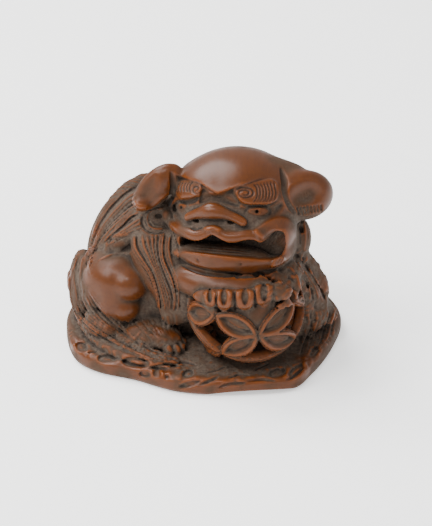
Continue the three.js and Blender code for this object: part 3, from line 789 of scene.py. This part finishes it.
LIP_NICKS = [[(196, 258), (199, 263)], [(240, 263), (242, 266)]]
UNDER_NOSE = [(191, 227.5), (196, 229), (202, 227)]
UNDER_CHIN = [(182, 265), (200, 272), (225, 275.5), (250, 275.5), (268, 272), (282, 266)]
RIGHT_EAR_HOLLOWS = [(((306, 196), (14, 10.5), -25), -0.9, 2.2), (((305, 195), (8, 6), -25), -0.5, 1.6)]
LEFT_EAR_HOLLOW = [(142, 196), (145, 185), (150, 178), (156, 176), (157, 184), (154, 192), (149, 198)]
LEFT_EAR_RIM = [(136, 202), (140, 206), (148, 206.5), (155, 203), (161, 197), (168, 193)]
BEHIND_LEFT_TEMPLE = [(171, 172), (173, 184), (172, 196), (168, 206)]
BEHIND_RIGHT_TEMPLE = [(281, 168), (284, 180), (285, 192), (289, 204), (296, 214)]
EAR_FRINGE = [(297, 207), (298.5, 211), (299.5, 216)]
EAR_FRINGE_STEPS = [(3.4, -0.4), (3.3, -0.3), (3.2, -0.5)]
EAR_FORMS = [
    ((11.2, -2.0, 26.0), (4.4, 3.4, 3.4), 1.4),
    ((-6.6, -2.4, 26), (2.4, 1.8, 4.2), (0, 42, 10), 0.9),
    ((-8.9, -3, 23.6), (1.2, 1.5, 1.2), 0.7),
    ((14.2, -3.8, 25.2), (4.5, 2.7, 3.8), (0, 12, 20), 1.0),
]


def stepped(line, steps, times):
    """A drawn line moved on by so many steps, each of its points by a step of its own."""
    return np.array(line) + times * np.array(steps)


def extruded(block, outline, back, soft):
    """Cuts the wood inside an outline drawn on the photograph, straight back along the head."""
    edge = closed_curve(outline, OUTLINE_STEP)
    places = seen(block, edge)
    flat = np.stack(HEAD.into(*places.T), -1)
    corners = np.vstack([places, HEAD.out(flat + (0, back - flat[:, 1].min(), 0))])
    cells, grids = block.window(corners.min(0) - 2, corners.max(0) + 2)
    x, y, z = HEAD.into(*grids)
    field = block.field[cells]
    near = np.broadcast_to(y < back, field.shape)
    x, y, z = (np.broadcast_to(grid, field.shape)[near] for grid in (x, y, z))
    space = np.maximum(outline_distance(x, z, flat[:, (0, 2)]), y - back)
    field[near] = -smooth_min(-field[near], space, soft).astype(np.float32)


def carve_head(block):
    block.add(rounded((0, 0, 0), SKULL_RADII, place=HEAD), 0.6)
    block.add(rounded(MUZZLE_CENTRE, MUZZLE_RADII, place=HEAD), 1.0)
    block.add(rounded((0, -1.9, -7.0), (8.6, 7.2, 2.9), place=HEAD), 0.8)
    add_forms(block, EAR_FORMS)


def carve_crown(block):
    """The crown's edge stands over the brows, sharpest at its point, and runs out to both temples."""
    edge = np.array(CROWN_EDGE)
    depth = how_far(seen(block, edge)).max() + 4
    reach = SKULL_RADII.max() * 1.3
    field, near, (x, y, z) = block.skin_within(HEAD.origin - reach, HEAD.origin + reach, 1.2)
    px, py, far = picture(x, y, z)
    above = (np.interp(px, edge[:, 0], edge[:, 1]) - py) * MM_PER_PIXEL
    share = np.clip(0.5 + above / 0.2, 0, 1) * np.exp(-((np.maximum(above, 0) / 2.6) ** 2))
    share *= np.clip((px - CROWN_LEFT) / 14, 0, 1) * np.clip((CROWN_RIGHT - px) / 26, 0, 1)
    share *= far < depth
    field[near] -= (0.55 * share).astype(np.float32)


def carve_face(block):
    """The features of the face, from the largest to the smallest."""
    carve_crown(block)
    # the face is sunk between the brows and the lips
    relief(block, FACE_SUNK, -0.5, 0.9)
    relief(block, BETWEEN_BROWS, -0.5, 0.4)
    relief(block, LEFT_BROW, 0.25, 0.25)
    relief(block, RIGHT_BROW, 0.28, 0.25)
    grooves(block, UNDER_BROWS, 0.28, 0.32)
    # the lips stand on the whole muzzle before the mouth is opened
    strands(block, [UPPER_LIP], 0.66, 0.5, blend=0.25, fade=0.06)
    relief(block, CORNER_LIP, 0.5, 0.6)
    relief(block, LOWER_LIP, 0.5, 0.45)
    relief(block, LIP_PEAK, 0.2, 0.4)
    extruded(block, MOUTH_OUTLINE, MUZZLE_CENTRE[1] - MUZZLE_RADII[1] + MOUTH_DEPTH, 0.12)
    # tongue
    block.add(rounded((-1.4, -5.4, -6.5), (7.6, 3.2, 1.4), (0, 3, 0), HEAD), 0.3)
    # the nose is broad, with a rounded tip and a wing to each side
    for path in laid(block, [NOSE]):
        out = block.slope(block.on_skin(path))
        share = np.linspace(0, 1, len(path))
        width = 0.58 + 0.5 * np.exp(-(((share - 0.43) / 0.2) ** 2))
        for form in rods(path + out * (0.3 + 0.35 * (width - 0.58))[:, None], width):
            block.add(form, 0.2)


def carve_features(block):
    """The lines and dots of the face."""
    for nostril in seen(block, NOSTRILS):
        block.cut(rounded(nostril + LOOKING * 0.15, (0.55, 0.6, 0.32)), 0.1)
    # eyes: a bulging almond with a drilled pupil, between two lids
    for centre, radii, pupil in EYES:
        relief(block, oval(centre, (radii[0] + 2.5, radii[1] + 2)), -0.022 * radii[0], 0.4)
        relief(block, oval(centre, radii), 0.035 * radii[0], 0.6)
        strands(block, [oval(centre, (radii[0] + 1.5, radii[1] + 1.2))[1:8]], 0.2, 0.15, fade=0.1)
        place = seen(block, [pupil])[0]
        block.cut(rod(place - LOOKING * 0.2, place + LOOKING * 0.5, 0.3, 0.2), 0.05)
    # each brow's hair starts in a curl and goes on in bows beside it
    bows = [stepped(RIGHT_BOW, RIGHT_BOW_STEPS, i) for i in range(7)]
    grooves(block, [swirl(*RIGHT_CURL, 2.0, start=180, inner=0.2), *bows], 0.14, 0.22, fade=0.1)
    bows = [stepped(LEFT_BOW, [(-3, 0)], i) for i in range(5)]
    grooves(block, [swirl(*LEFT_CURL, 1.3, start=30, inner=0.25), *bows], 0.14, 0.22, fade=0.1)
    # lines along the tongue, nicks in the lower lip, and the dark notch under the nose
    grooves(block, [stepped(TONGUE_LINE, TONGUE_STEPS, i) for i in range(3)], 0.16, 0.16)
    grooves(block, LIP_NICKS, 0.16, 0.18)
    grooves(block, [UNDER_NOSE], 0.35, 0.35)
    grooves(block, [UNDER_CHIN], 0.4, 0.6)


def carve_ear_hollows(block):
    for shape, height, soft in RIGHT_EAR_HOLLOWS:
        relief(block, oval(*shape), height, soft)
    relief(block, LEFT_EAR_HOLLOW, -0.4, 1.4)
    strands(block, [LEFT_EAR_RIM], 0.45, 0.25, blend=0.3)
    grooves(block, [BEHIND_LEFT_TEMPLE], 0.5, 0.4)
    grooves(block, [BEHIND_RIGHT_TEMPLE], 0.55, 0.5)
    grooves(block, [stepped(EAR_FRINGE, EAR_FRINGE_STEPS, i) for i in range(8)], 0.2, 0.3, fade=0.1)


# Hair

# Bands combed between two guide lines in pixels: how many strands, their height in mm, waves and fade
HAIR = {
    "along the back's edge": (
        [(138, 180), (124, 189), (111, 201), (101, 214), (94, 228), (90, 243), (87, 258), (87, 275)],
        [(139, 208), (130, 213), (120, 222), (111, 231), (103, 240), (97, 250), (93, 261), (91, 276)],
        8, 0.3, 0.8, 0.3),
    "over the flank": (
        [(139, 208), (130, 213), (120, 222), (111, 231), (101, 244)],
        [(143, 232), (134, 234), (125, 238), (117, 242), (107, 248)],
        7, 0.38, 1.0, 0.3),
    "curl under the ear": (
        [(171, 201), (158, 206), (146, 210), (138, 217), (136, 228), (142, 237), (154, 241), (169, 238)],
        [(163, 213), (159, 211.5), (155, 213), (154, 216.5), (155, 220), (159, 221.5), (163, 221)],
        6, 0.34, 0.6, 2.0),
    "mane": (
        [(130, 234), (131, 247), (137, 259), (146, 272), (152, 285), (156, 298), (158, 313)],
        [(173, 232), (172, 246), (173, 260), (176, 273), (179, 286), (181, 299), (180, 312)],
        11, 0.45, 1.3, 0.3),
    "beside the jaw": (
        [(168, 222), (171, 233), (173, 246), (174, 260)],
        [(174, 227), (178, 238), (181, 249), (182, 262)],
        3, 0.2, 0.6),
    "below the haunch": (
        [(90, 287), (98, 300), (109, 312), (122, 323), (136, 337), (151, 347), (167, 353), (184, 356)],
        [(70, 303), (76, 319), (89, 333), (106, 343), (122, 350), (138, 356), (156, 361), (176, 362)],
        10, 0.32, 1.2, 0.5),
    "tail": (
        [(74, 256), (72, 267), (71, 279), (73, 291), (74, 303)],
        [(88, 254), (86, 266), (85, 278), (87, 290), (86, 303)],
        5, 0.22, 0.3),
    "over the foot": (
        [(181, 313), (181, 320), (179, 328)],
        [(128, 322), (138, 333), (149, 343)],
        12, 0.17, 0.3),
    "shoulder": (
        [(301, 256), (309, 264), (317, 273), (323, 282), (328, 291), (331, 300)],
        [(290, 262), (298, 272), (305, 283), (308, 295), (309, 308)],
        6, 0.34, 1.2),
    "right leg": (
        [(305, 308), (304, 320), (302, 334), (298, 347), (294, 356)],
        [(340, 309), (338, 322), (333, 335), (325, 347), (317, 357)],
        10, 0.26, 1.5),
    "chest": (
        [(258, 275), (268, 272), (280, 268), (292, 266)],
        [(262, 300), (274, 303), (288, 303), (301, 300)],
        5, 0.24, 2.5),
    "behind the jaw": (
        [(299, 219), (295, 229), (295, 241), (300, 252)],
        [(307, 219), (311, 229), (311, 240), (306, 252)],
        5, 0.22, 0.2),
}
FLANK_HOLLOW = [(108, 240), (115, 237), (124, 237), (132, 240), (131, 250), (120, 250), (109, 252)]
FLANK_FOLD = [(97, 262), (104, 258), (112, 255), (122, 253.5), (131, 254)]
CURL_HOLES = [((158.5, 216.5), (0.55, 0.55, 0.4)), ((301.5, 228), (0.4, 0.5, 0.9))]
CHEST_EDGE = [(289, 266), (296, 276), (300, 288), (303, 300)]


def carve_hair(block):
    relief(block, FLANK_HOLLOW, -0.35, 0.8)
    for band in HAIR.values():
        comb(block, *band)
    strands(block, [FLANK_FOLD], 0.22, 0.18)
    # dark holes at the middle of the curls under the left ear and behind the jaw
    places = seen(block, [pixel for pixel, _ in CURL_HOLES])
    for place, (_, radii) in zip(places, CURL_HOLES):
        block.cut(rounded(place, radii), 0.15)
    strands(block, [CHEST_EDGE], 0.26, 0.22)


# Marks round the rug's edge: oval spots and slanting leaves, in pixels: centre, half sizes and lean

RUG_SPOTS = [((82, 347), (6, 4.6), 25), ((107, 359), (9, 4), 5), ((136, 362.5), (13.5, 5), 6),
             ((165, 366.5), (13, 2.8), -6), ((145, 374), (6, 3), 12), ((157, 373.5), (4, 3.4), 0),
             ((167, 377), (2.2, 2), 0), ((188, 374), (6, 4), -20), ((190, 384), (11, 2.6), -14),
             ((277, 373), (9, 4.6), -12), ((296, 371), (9, 4.6), -38), ((314, 352), (6, 3.4), -55)]
RUG_LEAVES = [[(197, 386), (209, 381), (219, 376)], [(218, 388), (231, 384), (246, 383)],
              [(205, 373), (216, 370), (226, 366)], [(228, 378), (242, 374), (252, 376)],
              [(247, 381), (262, 379), (275, 381)], [(253, 371), (262, 366), (270, 363)],
              [(286, 380), (294, 376), (303, 368)], [(176, 364), (186, 362), (196, 365)],
              [(88, 352), (94, 352), (97, 350)]]


def carve_rug_marks(block):
    for centre, radii, lean in RUG_SPOTS:
        relief(block, oval(centre, radii, lean), -0.4, 0.45)
        if radii[0] > 5:
            relief(block, oval(centre, (radii[0] * 0.5, radii[1] * 0.4), lean), 0.16, 0.4)
    grooves(block, RUG_LEAVES, 0.24, 0.3)


def roughen(block, low, high, amount, grain):
    """Uneven tool marks in a box of the wood: lumps about one grain across, in mm."""
    size = np.ceil((np.array(high) - low) / grain).astype(int) + 3
    lumps = rng.normal(0, 1, size).astype(np.float32)
    field, near, places = block.skin_within(low, high, 0.6)
    lump = sample_grid(lumps, (np.stack(places, -1) - low) / grain)
    field[near] += (amount * lump * (1 - np.abs(field[near]) / 0.6)).astype(np.float32)


# The back and sides: hidden in the photograph, and plainer

def comb_round(block, centre, radii, first, last, width):
    """Combs a rounded form from its crest down between two azimuths, in strands so many degrees wide."""
    centre, radii = np.array(centre, float), np.array(radii, float)
    field, near, places = block.skin_within(centre - radii - 2, centre + radii + 2, 0.8)
    way = [(grid - c) / r for grid, c, r in zip(places, centre, radii)]
    off = np.sqrt(way[0] ** 2 + way[1] ** 2 + way[2] ** 2)
    azimuth = np.degrees(np.arctan2(way[0], -way[1])) % 360
    rise = np.degrees(np.arcsin(np.clip(way[2] / off, -1, 1)))
    sides = np.clip((azimuth - first) / 8, 0, 1) * np.clip((last - azimuth) / 8, 0, 1)
    ends = np.clip((rise + 30) / 15, 0, 1) * np.clip((80 - rise) / 12, 0, 1) * (np.abs(off - 1) < 0.2)
    sway = 11 * np.sin(np.radians(3 * rise)) + 5 * np.sin(np.radians(5 * azimuth + 4 * rise))
    ridges = hair((azimuth + sway) / width, rise / 110, 0.28, 1.2)
    field[near] -= (ridges * sides * ends).astype(np.float32)


def carve_back(block):
    comb_round(block, TRUNK_CENTRE, TRUNK_RADII, 80, 286, 3.6)
    comb_round(block, *RIGHT_HAUNCH, 75, 200, 6)
    comb_round(block, *TAIL, 205, 320, 13)


def carve():
    margin = 1.0
    low, high = np.array(solid_low) / MM - margin, np.array(solid_high) / MM + margin
    block = Block(low, high, GRID_STEP)
    carve_body(block)
    carve_locks(block)
    carve_feet(block)
    crown_radii = (RUG_LENGTH * 0.46, RUG_DEPTH * 0.46, RUG_CROWN + RUG_THICKNESS / 2)
    block.add(rounded((0, 0, RUG_THICKNESS / 2), crown_radii), 0.4)
    carve_back(block)
    # what stands on the rug stays within its outline
    x, y, z = block.everywhere()
    block.trim(-outline_distance(x, y, rug_edge(0.15)).astype(np.float32), 0.3)
    carve_rug(block)
    roughen(block, (-20, -18, 2.5), (21, -2, 6.5), 0.11, 0.5)
    roughen(block, (8.5, -14, 9), (15, -4, 17), 0.25, 0.7)
    roughen(block, (13, -8, 3), (21, 4, 15), 0.14, 0.6)
    carve_head(block)
    carve_ball(block)
    carve_paw(block)
    carve_cord_holes(block)
    carve_face(block)
    carve_ear_hollows(block)
    carve_toes(block)
    carve_features(block)
    carve_hair(block)
    carve_rug_marks(block)
    # nothing is below the table
    block.trim(np.broadcast_to(z, block.field.shape), 0.15)
    return block


# The skin of the block as a mesh, with what a hand and a brush would find there, and where shade is painted

def spread(grid, reach):
    """A grid blurred over a reach in cells along each axis."""
    for axis in range(3):
        count = grid.shape[axis]
        ahead = np.clip(np.arange(count) + reach, 0, count - 1)
        behind = np.clip(np.arange(count) - reach - 1, 0, count - 1)
        for _ in range(2):
            total = np.cumsum(grid, axis=axis, dtype=np.float32)
            grid = (total.take(ahead, axis=axis) - total.take(behind, axis=axis)) / (2 * reach + 1)
    return grid


def wood_around(block, points, width):
    """How much of the space round places is wood, from -1 on a tip to 1 in a pit, over a width in mm."""
    coarse = max(1, int(width / 4 / block.step))
    wood = np.clip(0.5 - block.field[::coarse, ::coarse, ::coarse] / (block.step * coarse), 0, 1)
    blurred = spread(wood, max(1, int(round(width / 2 / (block.step * coarse)))))
    return 2 * sample_grid(blurred, (points - block.low) / (block.step * coarse)) - 1


# Where fingers have polished the wood: places in pixels, and how far the polish spreads in mm
POLISHED = [((232, 160), 6.5), ((205, 165), 5.0), ((260, 168), 4.0), ((165, 180), 2.2),
            ((146, 200), 1.5), ((310, 180), 3.0), ((325, 200), 2.0), ((295, 190), 1.6),
            ((213, 208), 1.6), ((195, 214), 1.0), ((238, 219), 1.0), ((175, 225), 1.0),
            ((195, 236), 1.1), ((213, 231), 1.1), ((232, 237), 1.1), ((250, 236), 1.1),
            ((280, 222), 1.8), ((290, 240), 1.3), ((283, 256), 1.2), ((200, 260), 1.5),
            ((225, 264), 1.6), ((250, 265), 1.5), ((270, 262), 1.2), ((190, 275), 2.2),
            ((215, 281), 2.1), ((240, 286), 1.9), ((105, 282), 3.2), ((125, 285), 3.4),
            ((138, 292), 2.4), ((122, 308), 3.0), ((89, 262), 1.5), ((92, 248), 1.0), ((97, 232), 0.9),
            ((88, 277), 1.1), ((94, 293), 1.1), ((112, 300), 2.4), ((68, 278), 1.2), ((252, 200), 0.9),
            ((184, 196), 0.9), ((262, 212), 0.6), ((85, 358), 1.2), ((110, 367), 1.0), ((140, 372), 1.1),
            ((165, 382), 1.1), ((195, 390), 1.2), ((225, 388), 1.1), ((255, 384), 1.0),
            ((285, 381), 1.1), ((305, 370), 1.2), ((75, 343), 1.0), ((158, 331), 0.9), ((171, 333), 0.7),
            ((320, 288), 1.3), ((224, 307), 0.9), ((245, 308), 0.9), ((264, 305), 0.9),
            ((165, 372), 1.2), ((305, 358), 1.0)]


def polish_at(block, points):
    """How polished places are, from 0 to 1. The sides that don't show are rubbed evenly."""
    share = 0.5 * np.clip(block.slope(points) @ LOOKING / 0.5, 0, 1)
    for place, (_, reach) in zip(seen(block, [pixel for pixel, _ in POLISHED]), POLISHED):
        off = ((points - place) ** 2).sum(1) / reach**2
        share = np.maximum(share, np.exp(-0.7 * off))
    return share


def thin(obj, share, group=""):
    """Collapses the mesh to a share of its triangles, in a vertex group first."""
    modifier = obj.modifiers.new("thin", "DECIMATE")
    modifier.ratio = min(1.0, share)
    modifier.vertex_group = group
    depsgraph = bpy.context.evaluated_depsgraph_get()
    obj_thinned = obj.evaluated_get(depsgraph)
    mesh = bpy.data.meshes.new_from_object(obj_thinned, preserve_all_data_layers=True, depsgraph=depsgraph)
    obj.modifiers.clear()
    obj.data = mesh
    mesh.calc_loop_triangles()


def whole(mesh):
    """Clears away crumbs and closed pockets: all that isn't joined to the one skin of the wood."""
    edges = np.empty(len(mesh.edges) * 2, np.int32)
    mesh.edges.foreach_get("vertices", edges)
    a, b = edges.reshape(-1, 2).T
    label = np.arange(len(mesh.vertices))
    while True:
        before = label.copy()
        np.minimum.at(label, a, before[b])
        np.minimum.at(label, b, before[a])
        label = label[label]
        if (label == before).all():
            break
    main = np.bincount(label).argmax()
    worked = bmesh.new()
    worked.from_mesh(mesh)
    loose = [vertex for vertex in worked.verts if label[vertex.index] != main]
    bmesh.ops.delete(worked, geom=loose, context="VERTS")
    worked.to_mesh(mesh)
    worked.free()


def skin_mesh(block):
    """The skin of the block as a mesh, thinned where it is flat."""
    grid = openvdb.FloatGrid(block.FAR)
    grid.copyFromArray(block.field)
    points, _, quads = grid.convertToPolygons(0.0, 0.0)
    points = (points * block.step + block.low) * MM
    mesh = bpy.data.meshes.new("netsuke_carving")
    mesh.vertices.add(len(points))
    mesh.vertices.foreach_set("co", points.astype(np.float32).ravel())
    mesh.loops.add(quads.size)
    mesh.loops.foreach_set("vertex_index", quads.astype(np.int32).ravel())
    mesh.polygons.add(len(quads))
    mesh.polygons.foreach_set("loop_start", np.arange(0, quads.size, 4, dtype=np.int32))
    mesh.update(calc_edges=True)
    mesh.validate()
    obj = bpy.data.objects.new("netsuke_carving", mesh)
    bpy.context.scene.collection.objects.link(obj)
    # most of the faces are kept for what shows in the photograph
    places = points / MM
    away = block.slope(places) @ LOOKING > 0.1
    within = np.linalg.norm(places - BALL_CENTRE, axis=1) < BALL_RADIUS - 0.9
    unseen = away | within | (places[:, 2] < 0.05)
    obj.vertex_groups.new(name="unseen").add(np.flatnonzero(unseen).tolist(), 1.0, "REPLACE")
    thin(obj, 1 - UNSEEN_THINNED * unseen.mean(), "unseen")
    thin(obj, MOST_TRIANGLES / len(obj.data.loop_triangles))
    obj.vertex_groups.clear()
    whole(obj.data)
    obj.data.name = "netsuke_carving"
    obj.data.shade_smooth()
    return obj


# How wide a space round each place tells whether it is a cut, a hollow or deep inside, in mm
SURROUNDINGS = {"pit": 0.45, "hollow": 1.2, "depth": 3.6}

# The finish's patterns in mm: the grit and the grain are drawn coarser than real ones, so that they show
BLOTCH_SIZE = 3.5
GRIT_SIZE = 0.35
GRAIN_WIDTH = 0.5


def paint(obj, block):
    """Writes what the wood's colours and its painted shade depend on to the mesh: pits, hollows, depths and
    polish, and its slope.
    """
    mesh = obj.data
    points = np.empty(len(mesh.vertices) * 3, np.float32)
    mesh.vertices.foreach_get("co", points)
    points = points.reshape(-1, 3) / MM
    finish_and_shade = {name: wood_around(block, points, width) for name, width in SURROUNDINGS.items()}
    # the inside of the ball takes the darkest painted shade
    finish_and_shade["depth"][np.linalg.norm(points - BALL_CENTRE, axis=1) < BALL_RADIUS - 1.0] = 1
    finish_and_shade["polish"] = polish_at(block, points)
    for name, values in finish_and_shade.items():
        mesh.attributes.new(name, "FLOAT", "POINT").data.foreach_set("value", values.astype(np.float32))
    mesh.normals_split_custom_set_from_vertices(block.slope(points).astype(np.float32))


def color(hex_code):
    """An sRGB hex colour as linear red, green, blue and alpha."""
    parts = [int(hex_code[i:i + 2], 16) / 255 for i in (1, 3, 5)]
    return tuple(c / 12.92 if c <= 0.04045 else ((c + 0.055) / 1.055) ** 2.4 for c in parts) + (1.0,)


def node(tree, kind, settings=None, inputs=None):
    """Adds a node with its settings, and links or sets its inputs, given by name or number."""
    made = tree.nodes.new(kind)
    for key, value in (settings or {}).items():
        setattr(made, key, value)
    for key, value in (inputs or {}).items():
        if isinstance(value, bpy.types.NodeSocket):
            tree.links.new(value, made.inputs[key])
        else:
            made.inputs[key].default_value = value
    return made


# Boxwood, stained, carved and waxed, then worn by hands: polished and orange-brown where fingers reach,
# matt grey-brown in the hollows, where wax and dust have settled. The cuts are nearly black with painted
# shade and some dust, and deep places get painted shade too.
def make_boxwood():
    material = bpy.data.materials.new("boxwood_stained_waxed")
    material.use_nodes = True
    tree = material.node_tree
    shader = tree.nodes["Principled BSDF"]

    soft = {"interpolation_type": "SMOOTHSTEP"}
    pit, hollow, depth, polish = (
        node(tree, "ShaderNodeAttribute", {"attribute_name": name}).outputs["Fac"]
        for name in ("pit", "hollow", "depth", "polish"))
    where = node(tree, "ShaderNodeTexCoord").outputs["Object"]
    blotch, grit = (
        node(tree, "ShaderNodeTexNoise", {},
             {"Vector": where, "Scale": 1 / size, "Detail": detail}).outputs["Fac"]
        for size, detail in ((BLOTCH_SIZE * MM, 3.0), (GRIT_SIZE * MM, 4.0)))
    drawn_out = node(tree, "ShaderNodeMapping", {}, {
        "Vector": where, "Scale": (1.0, 0.12, 1.0), "Rotation": (0.3, 0.2, 0.4)}).outputs["Vector"]
    grain = node(tree, "ShaderNodeTexNoise", {},
                 {"Vector": drawn_out, "Scale": 1 / (GRAIN_WIDTH * MM), "Detail": 3.0}).outputs["Fac"]

    # how rubbed the wood is: polish and raised places against hollows, uneven in patches
    raised = node(tree, "ShaderNodeMapRange", soft, {
        "Value": hollow, "From Min": -0.5, "From Max": 0.3, "To Min": 0.5, "To Max": -0.5}).outputs["Result"]
    patchy = node(tree, "ShaderNodeMapRange", soft, {
        "Value": blotch, "From Min": 0.3, "From Max": 0.7, "To Min": -0.15, "To Max": 0.15}).outputs["Result"]
    even = node(tree, "ShaderNodeMath", {"operation": "ADD"}, {0: polish, 1: raised}).outputs["Value"]
    rubbed = node(tree, "ShaderNodeMath", {"operation": "ADD"}, {0: even, 1: patchy}).outputs["Value"]
    clean = node(tree, "ShaderNodeMapRange", soft, {"Value": rubbed, "From Max": 0.9}).outputs["Result"]

    # layers of colour, each over the last: what it follows, where it starts and is full, its share
    wood = color("#4a3e34")
    layers = [
        (grit, 0.5, 0.33, 0.5, color("#2a211b")),
        (grit, 0.53, 0.7, 0.3, color("#675a4e")),
        (rubbed, -0.22, 0.27, 1.0, color("#402b1b")),
        (clean, 0.0, 1.0, 1.0, color("#4e2910")),
        (grain, 0.4, 0.75, 0.3, color("#3a1d10")),
        # painted shade in the cuts, with some dust
        (pit, 0.03, 0.35, 0.7, color("#1d1713")),
        (pit, -0.08, -0.35, 0.7, color("#6a3612")),
        # painted shade in the deep places and inside the ball
        (depth, 0.3, 0.85, 0.45, color("#1b1714")),
    ]
    for value, start, full, share, shade in layers:
        cover = node(tree, "ShaderNodeMapRange", soft, {
            "Value": value, "From Min": start, "From Max": full, "To Max": share}).outputs["Result"]
        wood = node(tree, "ShaderNodeMix", {"data_type": "RGBA"}, {0: cover, 6: wood, 7: shade}).outputs[2]
    tree.links.new(wood, shader.inputs["Base Color"])
    rough = node(tree, "ShaderNodeMapRange", {}, {"Value": clean, "To Min": 0.75, "To Max": 0.29})
    tree.links.new(rough.outputs["Result"], shader.inputs["Roughness"])
    shader.inputs["IOR"].default_value = 1.5
    shader.inputs["Specular IOR Level"].default_value = 0.22
    rugged = node(tree, "ShaderNodeMapRange", {},
                  {"Value": clean, "To Min": 1.0, "To Max": 0.05}).outputs["Result"]
    height = node(tree, "ShaderNodeMath", {"operation": "MULTIPLY"}, {0: grit, 1: rugged}).outputs["Value"]
    bump = node(tree, "ShaderNodeBump", {}, {"Strength": 0.5, "Distance": 0.08 * MM, "Height": height})
    tree.links.new(bump.outputs["Normal"], shader.inputs["Normal"])
    return material


block = carve()
netsuke = skin_mesh(block)
paint(netsuke, block)
netsuke.data.materials.append(make_boxwood())
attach(netsuke, "root")
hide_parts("netsuke")

# The stage

floor_mesh = bpy.data.meshes.new("floor")
floor_mesh.from_pydata([(-2, -2, 0), (2, -2, 0), (2, 2, 0), (-2, 2, 0)], [], [(0, 1, 2, 3)])
floor = bpy.data.objects.new("floor", floor_mesh)
bpy.context.scene.collection.objects.link(floor)
paper = bpy.data.materials.new("white_paper")
paper.use_nodes = True
paper_shader = paper.node_tree.nodes["Principled BSDF"]
paper_shader.inputs["Base Color"].default_value = color("#fbfbfa")
paper_shader.inputs["Roughness"].default_value = 0.9
paper_shader.inputs["Emission Color"].default_value = (1, 1, 1, 1)
paper_shader.inputs["Emission Strength"].default_value = 0.7
floor_mesh.materials.append(paper)

camera_data = bpy.data.cameras.new("camera")
camera_data.sensor_width = 36
camera_data.lens = 36 * CAMERA_DISTANCE / (PICTURE_HEIGHT * MM_PER_PIXEL)
camera_data.clip_start = 0.01
camera = bpy.data.objects.new("camera", camera_data)
bpy.context.scene.collection.objects.link(camera)
camera.location = Vector(EYE) * MM
camera.rotation_euler = Vector(LOOKING).to_track_quat("-Z", "Y").to_euler()
bpy.context.scene.camera = camera


def softbox(name, place, size, power):
    data = bpy.data.lights.new(name, "AREA")
    data.size = size
    data.energy = power
    lamp = bpy.data.objects.new(name, data)
    lamp.location = place
    lamp.rotation_euler = (Vector(SEEN_POINT) * MM - Vector(place)).to_track_quat("-Z", "Y").to_euler()
    bpy.context.scene.collection.objects.link(lamp)


softbox("window_left", (-0.36, -0.14, 0.4), 0.35, 3.6)
softbox("window_behind", (-0.24, 0.22, 0.42), 0.3, 3.2)
softbox("lamp_above", (-0.12, -0.3, 0.48), 0.1, 0.75)
softbox("fill_right", (0.4, -0.2, 0.3), 0.4, 0.3)
world = bpy.data.worlds.new("studio")
bpy.context.scene.world = world
world.use_nodes = True
world.node_tree.nodes["Background"].inputs["Color"].default_value = (1, 1, 1, 1)
world.node_tree.nodes["Background"].inputs["Strength"].default_value = 0.85
